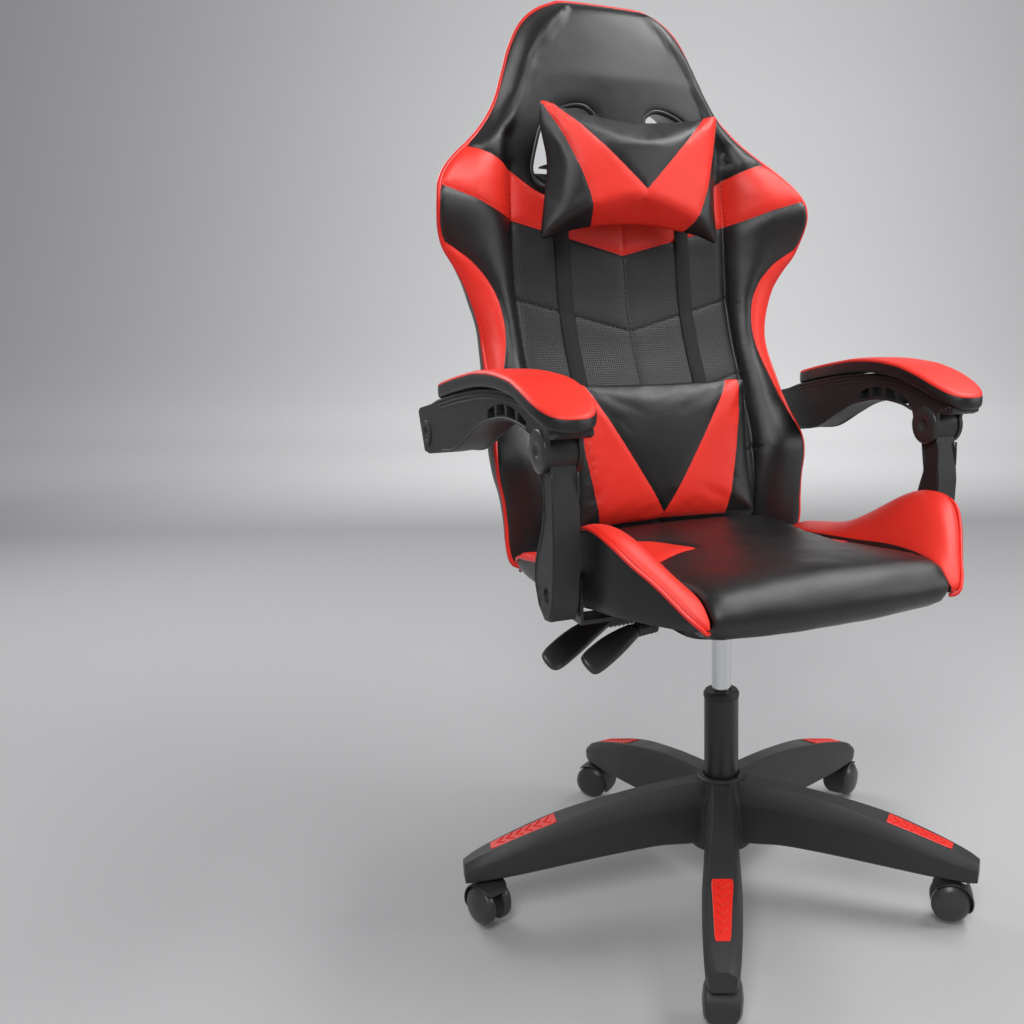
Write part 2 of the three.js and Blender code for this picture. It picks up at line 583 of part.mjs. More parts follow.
function armBoltHoles(radius, from, to) {
  return SIDES.map((side) => rod([side * from, ...ARM_REAR], [side * to, ...ARM_REAR], radius, 8));
}

function harnessOutline(side, inset = 0) {
  const centre = [92, 1068];
  return HARNESS.map(([x, z]) => {
    const [dx, dz] = [x - centre[0], z - centre[1]];
    const scale = 1 - inset / Math.hypot(dx, dz);
    return [side * (centre[0] + dx * scale), centre[1] + dz * scale];
  });
}

function makeBack() {
  const openings = SIDES.map((side) => alongY(harnessOutline(side, -GAP), 200, 560));
  const room = [frameTube(0.5), ...frameBrackets(0.5)];
  add('back_frame', cut(join(frameTube(0), ...frameBrackets(0)), ...plateBolts(4.6, -4, 20),
    ...armBoltHoles(5.5, 200, 260)), steelBlack);
  add('back_cushion', cut(loft(BACK.map(frontRing)), ...room, ...openings), leatherBlack);
  add('back_rear_shell', cut(loft(BACK.map(rearRing)), ...room, ...openings, ...plateBolts(5, 0, 30),
    ...armBoltHoles(6, 200, 280)), leatherBlack);
  SIDES.forEach((side) => {
    const outer = harnessOutline(side, 0);
    const inner = harnessOutline(side, BEZEL_WALL);
    const wall = (outline, proud) => loft([
      outline.map(([x, z]) => [x, backAt(z).front - proud, z]),
      outline.map(([x, z]) => [x, backAt(z).rear + proud, z])]);
    add(`harness_bezel_${sideName(side)}`, cut(wall(outer, 1), wall(inner, 8)), plastic);
  });
  const strip = alongX([leaning(-32, PLATE_OFF), leaning(-32, PLATE_OFF + 5), leaning(168, PLATE_OFF + 5),
    leaning(168, PLATE_OFF)], -PLATE_HALF, PLATE_HALF);
  add('back_plate', cut(strip, ...plateBolts(5, 0, 30)), steelBlack);
  plateBolts(4, 3, PLATE_OFF + 5.5).forEach((shank, i) => {
    const [x, along] = PLATE_BOLTS[i];
    const head = rod([x, ...leaning(along, PLATE_OFF + 5 + GAP)], [x, ...leaning(along, PLATE_OFF + 9)],
      7.5, 16);
    if (i % 3 === 0) add(`back_plate_bolt_${i / 3 + 1}`, join(shank, head), zinc);
  });
  makeBracket();
}

// Pressed-steel box under the backrest. It is open in front and below, where the support arm enters.
function makeBracket() {
  const rear = PLATE_OFF + 5 + GAP;
  const side = [[32, rear + 2.5], [32, -44], [-8, -44], [-50, rear + 2.5]];
  const hollow = [[40, rear], [40, -60], [-60, -60], [-60, rear]];
  const shell = cut(alongX(side.map(([a, n]) => leaning(a, n)), -33, 33),
    alongX(hollow.map(([a, n]) => leaning(a, n)), -30.5, 30.5));
  add('recline_bracket', cut(shell, shaftHole()), steelBlack);
  const leaned = (outline) => outline.map(([along, off]) => leaning(along, off));
  const rimOuter = alongX(leaned([[33, rear + 6], [33, -46], [23, -46], [23, rear + 6]]), -37, 37);
  const rimInner = alongX(leaned([[40, rear + 2.8], [40, -60], [10, -60], [10, rear + 2.8]]), -33.3, 33.3);
  add('recline_bracket_rim', cut(rimOuter, rimInner), steelBlack);
}

// ---- pillows and straps ----
// Cushion with pinched corners, given as rings from its lower to its upper edge.
function pillowSolid({ width, height, depth, centre, lean, taper }) {
  const [c, s] = [Math.cos(lean), Math.sin(lean)];
  const levels = [-1, -0.9, -0.6, 0, 0.6, 0.9, 1];
  return loft(levels.map((level) => {
    const fullness = Math.sqrt(1 - 0.94 * level * level);
    const half = (width / 2) * (1 + taper * level) * (0.93 + 0.07 * Math.abs(level));
    const along = (height / 2) * level;
    const section = [[1, 0], [0.93, 0.35], [0.6, 0.9], [0, 1], [-0.6, 0.9], [-0.93, 0.35], [-1, 0],
      [-0.93, -0.35], [-0.6, -0.9], [0, -1], [0.6, -0.9], [0.93, -0.35]];
    return section.map(([x, y]) => {
      const off = (y * depth * fullness) / 2;
      return [x * half, centre[0] + along * s + off * c, centre[1] + along * c - off * s];
    });
  }));
}

function makeSoftGoods() {
  add('headrest_pillow', pillowSolid(HEAD_PILLOW), leatherRed);
  add('lumbar_pillow', pillowSolid(LUMBAR_PILLOW), leatherRed);
  const [z0, z1] = HEAD_STRAP_Z;
  const [nearY, rearY] = [318, backAt(z1).rear + 5.3];
  const [inner, outer] = [HEAD_STRAP_HALF - STRAP_THICKNESS, HEAD_STRAP_HALF];
  const behind = rearY - STRAP_THICKNESS;
  const plan = [[-outer, nearY], [-outer, rearY], [outer, rearY], [outer, nearY], [inner, nearY],
    [inner, behind], [-inner, behind], [-inner, nearY]];
  add('headrest_strap', extruded(plan, z0, z1), webbing);
  SIDES.forEach((side) => {
    const x = [-0.5, 0.5].map((end) => side * STRAP_X + end * STRAP_WIDTH);
    const inside = alongX(strapLoop(1.6), x[0] - 1, x[1] + 1);
    add(`lumbar_strap_${sideName(side)}`, cut(alongX(strapLoop(3.6), ...x), inside), webbing);
  });
}

// Side view of the lumbar strap: over the back's front face, through the opening and down the rear.
function strapLoop(off) {
  const top = 1018.5 + off - 1;
  const rows = BACK.filter(({ z }) => z < top);
  const last = backAt(top);
  const bottom = rows[0].z - 1 - off;
  return [[rows[0].front - off, bottom], ...rows.map(({ front, z }) => [front - off, z]),
    [last.front - off, top], [last.rear + off, top], ...rows.map(({ rear, z }) => [rear + off, z]).reverse(),
    [rows[0].rear + off, bottom]];
}

// ---- armrests ----
function padUnderside(y) {
  const i = Math.max(1, PAD.findIndex((row) => row[0] >= y));
  const [a, b] = [PAD[i - 1], PAD[i]];
  return a[1] + ((y - a[0]) / (b[0] - a[0])) * (b[1] - a[1]) - PAD_THICKNESS;
}

function makeArm(side) {
  const x = (v) => side * v;
  const span = (a, b) => [x(a), x(b)].sort((p, q) => p - q);
  const name = sideName(side);
  const pad = loft(PAD.map(([y, top, half]) => {
    const low = top - PAD_THICKNESS;
    return [[half, low + 5], [half, top - 6], [half - 8, top], [8 - half, top], [-half, top - 6],
      [-half, low + 5], [4 - half, low], [half - 4, low]].map(([dx, z]) => [x(ARM_X + 2) + dx, y, z]);
  }));
  add(`arm_pad_${name}`, toed(pad, side), leatherRed);

  const seat = PAD.map(([y]) => y).filter((y) => y > BEAM_FRONT && y < BEAM_REAR);
  const upper = [BEAM_REAR, ...seat.reverse(), BEAM_FRONT].map((y) => [y, padUnderside(y) - GAP]);
  const solid = alongX([...BEAM_NOSE, ...BEAM_LOWER, [326, 690], [272, 700], ...upper],
    ...span(ARM_X - 23, ARM_X + 23));
  const cheeks = [[17.6, 23], [-23, -17.6]].map(([a, b]) => alongX(circle(27, KNUCKLE),
    ...span(ARM_X + a, ARM_X + b)));
  const tie = [[-138, 680], [-90, 680], [-84, 699], [-142, 699]];
  const ties = [[17.6, 23], [-23, -17.6]].map(([a, b]) => alongX(tie, ...span(ARM_X + a, ARM_X + b)));
  const headRoom = alongX(circle(26.5, KNUCKLE), ...span(ARM_X - 17.6, ARM_X + 17.6));
  const pinHole = rod([x(250), ...KNUCKLE], [x(320), ...KNUCKLE], 6 + GAP);
  const vents = [[-78, -50], [-44, -16], [-10, 18], [24, 50]].map(([a, b]) => {
    const lift = (y) => 708 - 0.0034 * (y + 10) ** 2;
    const slot = [[a, lift(a)], [b, lift(b)], [b - 2, lift(b) + 14], [a + 2, lift(a) + 14]];
    return alongX(slot, ...span(200, 340));
  });
  const boltRoom = [rod([x(250), ...ARM_REAR], [x(320), ...ARM_REAR], 10.5),
    rod([x(ARM_X + 6), ...ARM_REAR], [x(320), ...ARM_REAR], 17)];
  const beam = cut(join(cut(solid, headRoom), ...cheeks, ...ties), headRoomKeep(x, span), pinHole,
    ...vents, ...boltRoom);
  add(`arm_beam_${name}`, toed(beam, side), plastic);

  const head = alongX(circle(25, KNUCKLE), ...span(ARM_X - 17.3, ARM_X + 17.3));
  const shank = alongX(POST, ...span(ARM_X - 16, ARM_X + 16));
  const recess = rod([x(ARM_X + 6), ...POST_PIVOT], [x(320), ...POST_PIVOT], 9.5);
  const pivot = rod([x(250), ...POST_PIVOT], [x(320), ...POST_PIVOT], 5.3);
  add(`arm_post_${name}`, cut(join(head, shank), pinHole, recess, pivot), plastic);
  add(`arm_knuckle_pin_${name}`, rod([x(ARM_X - 22), ...KNUCKLE], [x(ARM_X + 22), ...KNUCKLE], 6), zinc);
  const bolt = (point, from, inside, radius) => join(rod([x(from), ...point], [x(inside), ...point], 4.8),
    rod([x(inside - 0.2), ...point], [x(inside + 6), ...point], radius));
  const rearBoltHead = ARM_X + 7 + TOE * (ARM_REAR[0] - TOE_START);
  add(`arm_rear_bolt_${name}`, bolt(ARM_REAR, 222, rearBoltHead, 8.5), zinc);
  add(`arm_post_bolt_${name}`, bolt(POST_PIVOT, 259.8, ARM_X + 6.4, 8.5), zinc);
}

// Shears the part of a piece that lies behind the knuckle, so that it runs outward to the rear.
function toed(geometry, side) {
  const [rear, front] = toSolid(geometry).splitByPlane([0, 1, 0], TOE_START);
  const slant = side * TOE;
  const spread = rear.transform([1, 0, 0, 0, slant, 1, 0, 0, 0, 0, 1, 0, -slant * TOE_START, 0, 0, 1]);
  return toGeometry(front.add(spread));
}

// Space between the knuckle's cheeks for the post's head and shoulders.
function headRoomKeep(x, span) {
  return alongX([[-150, 640], [-84, 640], [-84, 676], [-92, 690], [-136, 690], [-146, 676]],
    ...span(ARM_X - 17.6, ARM_X + 17.6));
}

makeBase();
makeCasters();
makeLift();
makeMechanism();
makeLever('height_lever', HEIGHT_LEVER, HEIGHT_PADDLE);
makeLever('recline_lever', RECLINE_LEVER, RECLINE_PADDLE);
makeSeat();
makeBack();
makeSoftGoods();
SIDES.forEach(makeArm);

export default chair;
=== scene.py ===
import json
import math

import bmesh
import bpy
import numpy as np
from mathutils import Matrix, Vector, noise
from mathutils.geometry import delaunay_2d_cdt


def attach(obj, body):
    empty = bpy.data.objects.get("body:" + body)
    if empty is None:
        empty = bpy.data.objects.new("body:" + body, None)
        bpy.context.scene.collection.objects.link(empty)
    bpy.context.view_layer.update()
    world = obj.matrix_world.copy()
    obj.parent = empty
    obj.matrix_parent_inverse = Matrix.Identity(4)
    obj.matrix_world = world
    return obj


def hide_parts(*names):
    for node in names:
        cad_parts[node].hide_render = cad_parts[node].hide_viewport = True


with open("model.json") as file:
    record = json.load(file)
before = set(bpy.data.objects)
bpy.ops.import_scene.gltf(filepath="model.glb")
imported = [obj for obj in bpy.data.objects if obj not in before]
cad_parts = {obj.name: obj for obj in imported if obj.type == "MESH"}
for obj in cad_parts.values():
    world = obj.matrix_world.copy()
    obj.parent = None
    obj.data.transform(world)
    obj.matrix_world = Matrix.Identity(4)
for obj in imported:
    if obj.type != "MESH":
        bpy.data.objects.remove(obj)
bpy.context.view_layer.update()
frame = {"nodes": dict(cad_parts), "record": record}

# Everything below is in millimetres about the gas lift's axis; SHIFT_Y takes it to the frame.
MM = 0.001
SHIFT_Y = -50.0
SIDES = (-1, 1)


def side_name(side):
    return "left" if side > 0 else "right"


# ---------------------------------------------------------------- numbers of the object
# Backrest by height: z, half width, y of the piping, of the front and of the rear face.
BACK = np.array([
    (460, 232, 190, 196, 212), (466, 240, 190, 196, 214), (472, 246, 188, 196, 217),
    (500, 250, 186, 197, 230), (545, 251, 187, 198, 251), (610, 258, 190, 208, 290),
    (700, 247, 246, 250, 344), (790, 244, 292, 294, 370), (860, 260, 298, 314, 388),
    (930, 298, 282, 320, 398), (985, 306, 262, 324, 404), (1045, 270, 296, 328, 410),
    (1105, 208, 340, 334, 416), (1180, 168, 378, 348, 430), (1250, 136, 390, 362, 436),
    (1285, 98, 392, 374, 428), (1297, 56, 393, 384, 410)
], float)
# Silhouette of the backrest: z, half width.
OUTLINE = [(462, 196), (463, 222), (468, 238), (478, 246), (500, 250), (525, 250), (548, 251), (570, 253),
           (598, 258), (631, 258), (673, 250), (740, 244), (775, 242), (805, 243), (836, 250), (867, 261),
           (895, 277), (920, 294), (945, 302), (970, 305), (993, 304), (1010, 300), (1030, 287), (1050, 267),
           (1070, 243), (1090, 222), (1115, 201), (1145, 182), (1180, 167), (1215, 154), (1245, 139),
           (1264, 124), (1278, 106), (1288, 84), (1294, 56)]
HARNESS = [(41, 1116), (48, 1130), (63, 1137), (86, 1134), (110, 1123), (123, 1109), (132, 1093), (144, 1047),
           (143, 1031), (137, 1020), (124, 1014), (90, 1013), (58, 1014), (45, 1020), (40, 1030)]
LEG_ANGLES = [math.radians(-28.84 - 90 + 72 * k) for k in range(5)]
STEM_ORBIT = 350
CASTER_TRAIL = 13
CASTER_HEADINGS = [math.radians(a) for a in (61, 145, 29, 130, 288)]
WHEEL_RADIUS = 27.5
ARM_X = 284
TOE, TOE_START = 0.06, -82  # behind the knuckle the armrests spread apart
KNUCKLE = (-114, 676)
ARM_REAR = (298, 655)
RECLINE_PIVOT = (168, 405)
PLATE_LEAN = math.radians(25)
STRAP_X = 103
STRAP_WIDTH, STRAP_THICK = 24, 1.8
STRAP_LOW = 459.5  # where the lumbar straps turn under the backrest
OPENING_FLOOR = 1018.5
HEADREST_STRAP_Z = 1052
SLIDER_Z = 868
SEAT_SEAM_X = 170.5  # half width of the seat's middle between its wings
SCREW_X = 17


# ---------------------------------------------------------------- curves
def pchip(xs, ys, x):
    """Smooth curve through the points that doesn't overshoot."""
    xs, ys, x = (np.asarray(v, float) for v in (xs, ys, x))
    h = np.diff(xs)
    d = np.diff(ys) / h
    m = np.empty(len(xs))
    m[0], m[-1] = d[0], d[-1]
    both = d[:-1] * d[1:]
    m[1:-1] = np.where(both > 0, 2 * both / np.where(both > 0, d[:-1] + d[1:], 1), 0)
    i = np.clip(np.searchsorted(xs, x) - 1, 0, len(xs) - 2)
    t = np.clip((x - xs[i]) / h[i], 0, 1)
    a, b = ys[i], ys[i + 1]
    return (a * (2 * t**3 - 3 * t**2 + 1) + b * (3 * t**2 - 2 * t**3)
            + h[i] * (m[i] * (t**3 - 2 * t**2 + t) + m[i + 1] * (t**3 - t**2)))


def back_row(z, column):
    return pchip(BACK[:, 0], BACK[:, column], z)


def smooth_line(points, step, closed=False):
    """Catmull-Rom curve through the points, cut into equal steps."""
    p = np.asarray(points, float)
    n = len(p)
    fine = []
    for i in range(n if closed else n - 1):
        a, b, c, d = (p[(i + k) % n] if closed else p[min(max(i + k, 0), n - 1)] for k in (-1, 0, 1, 2))
        for t in np.linspace(0, 1, 12, endpoint=False):
            fine.append(0.5 * (2 * b + (c - a) * t + (2 * a - 5 * b + 4 * c - d) * t**2
                               + (3 * b - a - 3 * c + d) * t**3))
    fine.append(p[0] if closed else p[-1])
    return even(np.array(fine), step, closed)


def even(line, step, closed=False):
    """The polyline cut into equal steps; a closed one gives its first point at both ends."""
    line = np.asarray(line, float)
    length = np.concatenate([[0], np.cumsum(np.linalg.norm(np.diff(line, axis=0), axis=1))])
    count = max(2, int(round(length[-1] / step)) + 1)
    at = np.linspace(0, length[-1], count)
    out = np.stack([np.interp(at, length, line[:, k]) for k in range(line.shape[1])], 1)
    return out[:-1] if closed else out


# ---------------------------------------------------------------- meshes
def make(name, points, faces, mats, body, face_mats=None, smooth=True):
    """A piece that rides on a body; its slot is that of its first material unless one is given."""
    mats = mats if isinstance(mats, (list, tuple)) else [mats]
    co = np.array(points, float)
    co[:, 1] += SHIFT_Y
    mesh = bpy.data.meshes.new(name)
    mesh.from_pydata((co * MM).tolist(), [], [tuple(int(i) for i in f) for f in faces])
    for m in mats:
        mesh.materials.append(m)
    if face_mats is not None:
        mesh.polygons.foreach_set("material_index", [int(m) for m in face_mats])
    mesh.polygons.foreach_set("use_smooth", [smooth] * len(mesh.polygons))
    mesh.validate()
    mesh.update()
    obj = bpy.data.objects.new(name, mesh)
    bpy.context.scene.collection.objects.link(obj)
    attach(obj, body)
    return obj


def apply_modifiers(obj):
    bpy.context.view_layer.update()
    done = bpy.data.meshes.new_from_object(obj.evaluated_get(bpy.context.evaluated_depsgraph_get()))
    obj.modifiers.clear()
    obj.data = done
    return obj


def subdivide(obj, levels=2):
    mod = obj.modifiers.new("smooth", "SUBSURF")
    mod.levels = mod.render_levels = levels
    return obj


def bevel(obj, width, segments=3, angle=32, weld=True):
    """Rounded edges, with flat faces kept flat."""
    if weld:
        obj.modifiers.new("weld", "WELD").merge_threshold = 0.00002
    mod = obj.modifiers.new("edge", "BEVEL")
    mod.width = width * MM
    mod.segments = segments
    mod.limit_method = "ANGLE"
    mod.angle_limit = math.radians(angle)
    obj.modifiers.new("normals", "WEIGHTED_NORMAL")
    obj.data.polygons.foreach_set("use_smooth", [True] * len(obj.data.polygons))
    return obj


def grid_faces(rows, cols, wrap_cols=True, cap=True):
    faces = []
    for r in range(rows - 1):
        for c in range(cols if wrap_cols else cols - 1):
            d = (c + 1) % cols
            faces.append((r * cols + c, r * cols + d, (r + 1) * cols + d, (r + 1) * cols + c))
    if cap:
        faces.append(tuple(range(cols))[::-1])
        faces.append(tuple((rows - 1) * cols + c for c in range(cols)))
    return faces


def loft(name, rings, mats, body, ring_mats=None, cap_mat=0, levels=0):
    """Closed skin over rings of equal point counts; ring_mats gives a material to each side strip."""
    rows, cols = len(rings), len(rings[0])
    faces = grid_faces(rows, cols)
    face_mats = None
    if ring_mats is not None:
        face_mats = list(ring_mats) * (rows - 1) + [cap_mat, cap_mat]
    obj = make(name, np.concatenate([np.asarray(r, float) for r in rings]), faces, mats, body, face_mats)
    fix_normals(obj)
    return subdivide(obj, levels) if levels else obj


def fix_normals(obj):
    bm = bmesh.new()
    bm.from_mesh(obj.data)
    bmesh.ops.remove_doubles(bm, verts=bm.verts, dist=1e-6)
    bmesh.ops.recalc_face_normals(bm, faces=bm.faces)
    bm.to_mesh(obj.data)
    bm.free()


def tangents(line, closed):
    t = np.roll(line, -1, 0) - np.roll(line, 1, 0) if closed else np.gradient(line, axis=0)
    return t / np.linalg.norm(t, axis=1)[:, None]


def frames_along(path, closed, up):
    """Tangent, side and up vectors at each point of a path."""
    path = np.asarray(path, float)
    tangent = tangents(path, closed)
    up = np.broadcast_to(np.asarray(up, float), path.shape)
    side = np.cross(tangent, up)
    side /= np.linalg.norm(side, axis=1)[:, None]
    return tangent, side, np.cross(side, tangent)


def sweep(name, path, section, mats, body, closed=False, up=(0, 1, 0), scale=None):
    """A section of (across, up) points carried along a path."""
    path = np.asarray(path, float)
    _, side, top = frames_along(path, closed, up)
    scale = np.ones(len(path)) if scale is None else scale
    across, rise = np.array(section, float).T
    rings = [path[i] + scale[i] * (np.outer(across, side[i]) + np.outer(rise, top[i]))
             for i in range(len(path))]
    cols = len(section)
    faces = grid_faces(len(path), cols, cap=not closed)
    if closed:
        last = (len(path) - 1) * cols
        faces += [(last + c, last + (c + 1) % cols, (c + 1) % cols, c) for c in range(cols)]
    obj = make(name, np.concatenate(rings), faces, mats, body)
    fix_normals(obj)
    return obj


def ring_section(radius, sides=10):
    return [(radius * math.cos(2 * math.pi * k / sides), radius * math.sin(2 * math.pi * k / sides))
            for k in range(sides)]


def band_section(width, thickness):
    """Flat strap: a rectangle with softened corners."""
    w, t, c = width / 2, thickness / 2, min(thickness * 0.35, width / 4)
    return [(w - c, t), (c - w, t), (-w, t - c), (-w, c - t), (c - w, -t), (w - c, -t), (w, c - t),
            (w, t - c)]


def lathe(name, profile, mats, body, origin=(0, 0, 0), axis=(0, 0, 1), steps=32):
    """Turned solid: profile of (radius, height along the axis)."""
    turn = Vector((0, 0, 1)).rotation_difference(Vector(axis).normalized()).to_matrix()
    rings = []
    for r, h in profile:
        ring = [turn @ Vector((max(r, 0.01) * math.cos(2 * math.pi * k / steps),
                               max(r, 0.01) * math.sin(2 * math.pi * k / steps), h)) + Vector(origin)
                for k in range(steps)]
        rings.append([tuple(p) for p in ring])
    return loft(name, rings, mats, body)


def union(objs):
    """One clean solid from several closed ones."""
    first, *others = objs
    for other in others:
        mod = first.modifiers.new("join", "BOOLEAN")
        mod.operation = "UNION"
        mod.solver = "EXACT"
        mod.object = other
    apply_modifiers(first)
    for other in others:
        bpy.data.objects.remove(other)
    return first


# ---------------------------------------------------------------- sewn panels
def inside(points, loop):
    x, y = points[:, 0], points[:, 1]
    odd = np.zeros(len(points), bool)
    for (x0, y0), (x1, y1) in zip(loop, np.roll(loop, -1, 0)):
        if y0 == y1:
            continue
        crosses = ((y0 > y) != (y1 > y)) & (x < x0 + (y - y0) * (x1 - x0) / (y1 - y0))
        odd ^= crosses
    return odd


def distance(points, lines):
    """Shortest distance from each point to the polylines [(points, closed), ...]."""
    best = np.full(len(points), 1e9)
    for line, closed in lines:
        line = np.asarray(line, float)
        a = line if closed else line[:-1]
        b = np.roll(line, -1, 0) if closed else line[1:]
        for start in range(0, len(points), 4000):
            p = points[start:start + 4000, None, :]
            ab = (b - a)[None]
            t = np.clip(((p - a[None]) * ab).sum(2) / np.maximum((ab**2).sum(2), 1e-9), 0, 1)
            d = np.sqrt((((p - a[None]) - t[..., None] * ab) ** 2).sum(2)).min(1)
            best[start:start + 4000] = np.minimum(best[start:start + 4000], d)
    return best


def near(points, seams):
    return distance(points, [(s, False) for s in seams])


def near_loops(points, loops):
    return distance(points, [(loop, True) for loop in loops])


def panel_mesh(outline, holes, seams, step, rim=(0.3, 1.2, 3, 6, 10), beside=(2, 5)):
    """Triangles over a flat outline, with every seam on mesh edges and finer rows beside edges and seams."""
    lines = [(outline, True)] + [(h, True) for h in holes] + [(s, False) for s in seams]
    points, edges = [], []
    for line, closed in lines:
        base, n = len(points), len(line)
        points += [tuple(p) for p in line]
        edges += [(base + i, base + (i + 1) % n) for i in range(n if closed else n - 1)]

    def keep(candidates, gap):
        c = np.asarray(candidates)
        ok = inside(c, outline)
        for h in holes:
            ok &= ~inside(c, h)
        c = c[ok]
        return c[distance(c, lines) > gap]

    for line, closed in lines:
        line = np.asarray(line, float)
        tangent = tangents(line, closed)
        normal = np.stack([-tangent[:, 1], tangent[:, 0]], 1)
        for d in rim if closed else beside:
            for way in (-1, 1):
                points += [tuple(p) for p in keep(line + way * d * normal, 0.8 * d)]
    reach = max(max(rim), max(beside)) + 0.45 * step
    (x0, y0), (x1, y1) = outline.min(0), outline.max(0)
    ys = np.arange(y0, y1, step * 0.866)
    grid = [(x + (step / 2 if r % 2 else 0), y) for r, y in enumerate(ys) for x in np.arange(x0, x1, step)]
    points += [tuple(p) for p in keep(grid, reach)]
    verts, lines_out, faces, _, origin, _ = delaunay_2d_cdt([Vector(p) for p in points], edges, [], 1, 1e-4)
    verts = np.array([tuple(v) for v in verts])
    faces = np.array([f for f in faces if len(f) == 3])
    sewn = {tuple(sorted(e)) for e, source in zip(lines_out, origin) if source}
    middle = verts[faces].mean(1)
    ok = inside(middle, outline)
    for h in holes:
        ok &= ~inside(middle, h)
    faces = faces[ok]
    parts = regions(faces, sewn)
    used = np.unique(faces)
    index = np.full(len(verts), -1)
    index[used] = np.arange(len(used))
    return verts[used], index[faces], parts


def regions(faces, sewn):
    """Number of the seam-bounded region that each triangle belongs to."""
    parent = list(range(len(faces)))

    def root(i):
        while parent[i] != i:
            parent[i] = parent[parent[i]]
            i = parent[i]
        return i

    first = {}
    for i, face in enumerate(faces.tolist()):
        for a, b in zip(face, face[1:] + face[:1]):
            edge = (a, b) if a < b else (b, a)
            if edge in sewn:
                continue
            if edge in first:
                parent[root(i)] = root(first[edge])
            else:
                first[edge] = i
    return np.array([root(i) for i in range(len(faces))])


def by_region(kind, parts):
    """Gives every triangle the kind that most of its region has."""
    kind = np.asarray(kind).copy()
    for part in np.unique(parts):
        mine = parts == part
        kind[mine] = np.bincount(kind[mine]).argmax()
    return kind


def fillet(d, radius):
    """1 at the edge, 0 from the radius inwards, along a quarter circle."""
    t = np.clip(1 - d / radius, 0, 1)
    return 1 - np.sqrt(np.clip(1 - t**2, 0, 1))


def ripples(points, size, seed=0.0):
    """Smooth random field from -1 to 1."""
    return np.array([noise.noise(Vector((p[0] / size, p[1] / size, seed))) for p in points])


# ---------------------------------------------------------------- materials
def material(name, color, roughness, metallic=0.0):
    m = bpy.data.materials.new(name)
    m.use_nodes = True
    shader = m.node_tree.nodes["Principled BSDF"]
    shader.inputs["Base Color"].default_value = (*color, 1)
    shader.inputs["Roughness"].default_value = roughness
    shader.inputs["Metallic"].default_value = metallic
    return m, m.node_tree, shader


def connect(tree, links):
    """Wires shader nodes up: (node, its output, next node, its input) for each link."""
    for a, out, b, socket in links:
        tree.links.new(a.outputs[out], b.inputs[socket])


def node(tree, kind, inputs, **settings):
    made = tree.nodes.new("ShaderNode" + kind)
    for key, value in settings.items():
        setattr(made, key, value)
    for key, value in inputs.items():
        made.inputs[key].default_value = value
    return made


def textured(name, color, roughness, grain, bump, rough_spread=0.08, tone=0.25, metallic=0.0, cells=False,
             stretch=(1, 1, 1), specular=0.5):
    """Base colour, roughness and bump that vary with procedural grain; `grain` is cells per metre."""
    m, tree, shader = material(name, color, roughness, metallic)
    shader.inputs["Specular IOR Level"].default_value = specular
    where = node(tree, "TexCoord", {})
    scale = node(tree, "Mapping", {"Scale": stretch})
    broad = node(tree, "TexNoise", {"Scale": 14, "Detail": 4})
    if cells:
        fine = node(tree, "TexVoronoi", {"Scale": grain}, feature="DISTANCE_TO_EDGE")
    else:
        fine = node(tree, "TexNoise", {"Scale": grain, "Detail": 3})
    ramp = node(tree, "MapRange", {"From Min": 0.3, "From Max": 0.7,
                                   "To Min": max(roughness - rough_spread, 0.03),
                                   "To Max": roughness + rough_spread})
    mix = node(tree, "Mix", {"A": (*[c * (1 - tone) for c in color], 1),
                             "B": (*[min(c * (1 + tone), 1) for c in color], 1)}, data_type="RGBA")
    relief = node(tree, "Bump", {"Strength": bump, "Distance": 0.0006})
    connect(tree, [(where, "Object", scale, "Vector"), (scale, "Vector", broad, "Vector"),
                   (scale, "Vector", fine, "Vector"), (broad, "Fac", ramp, "Value"),
                   (ramp, "Result", shader, "Roughness"), (broad, "Fac", mix, "Factor"),
                   (mix, "Result", shader, "Base Color"), (relief, "Normal", shader, "Normal")])
    if cells:
        squeeze = node(tree, "MapRange", {"From Max": 0.25})
        connect(tree, [(fine, "Distance", squeeze, "Value"), (squeeze, "Result", relief, "Height")])
    else:
        connect(tree, [(fine, "Fac", relief, "Height")])
    return m


DOTS_PER_METRE = 290


def perforated(name, color):
    """Black cover with a fine grid of punched dots, laid out over x and z."""
    m, tree, shader = material(name, color, 0.5)
    where = node(tree, "TexCoord", {})
    flat = node(tree, "Mapping", {"Rotation": (math.pi / 2, 0, 0)})
    dots = node(tree, "TexVoronoi", {"Scale": DOTS_PER_METRE, "Randomness": 0.12},
                voronoi_dimensions="2D")
    edge = node(tree, "MapRange", {"From Min": 0.18, "From Max": 0.42}, interpolation_type="SMOOTHSTEP")
    mix = node(tree, "Mix", {"A": (*[c * 0.6 for c in color], 1), "B": (*color, 1)}, data_type="RGBA")
    grain = node(tree, "TexNoise", {"Scale": 900})
    add = node(tree, "Math", {1: 0.25}, operation="MULTIPLY_ADD")
    relief = node(tree, "Bump", {"Strength": 0.28, "Distance": 0.0005})
    rough = node(tree, "MapRange", {"To Min": 0.85, "To Max": 0.48})
    connect(tree, [(where, "Object", flat, "Vector"), (flat, "Vector", dots, "Vector"),
                   (dots, "Distance", edge, "Value"), (edge, "Result", mix, "Factor"),
                   (mix, "Result", shader, "Base Color"), (where, "Object", grain, "Vector"),
                   (grain, "Fac", add, 0), (edge, "Result", add, 2), (add, "Value", relief, "Height"),
                   (relief, "Normal", shader, "Normal"), (edge, "Result", rough, "Value"),
                   (rough, "Result", shader, "Roughness")])
    return m


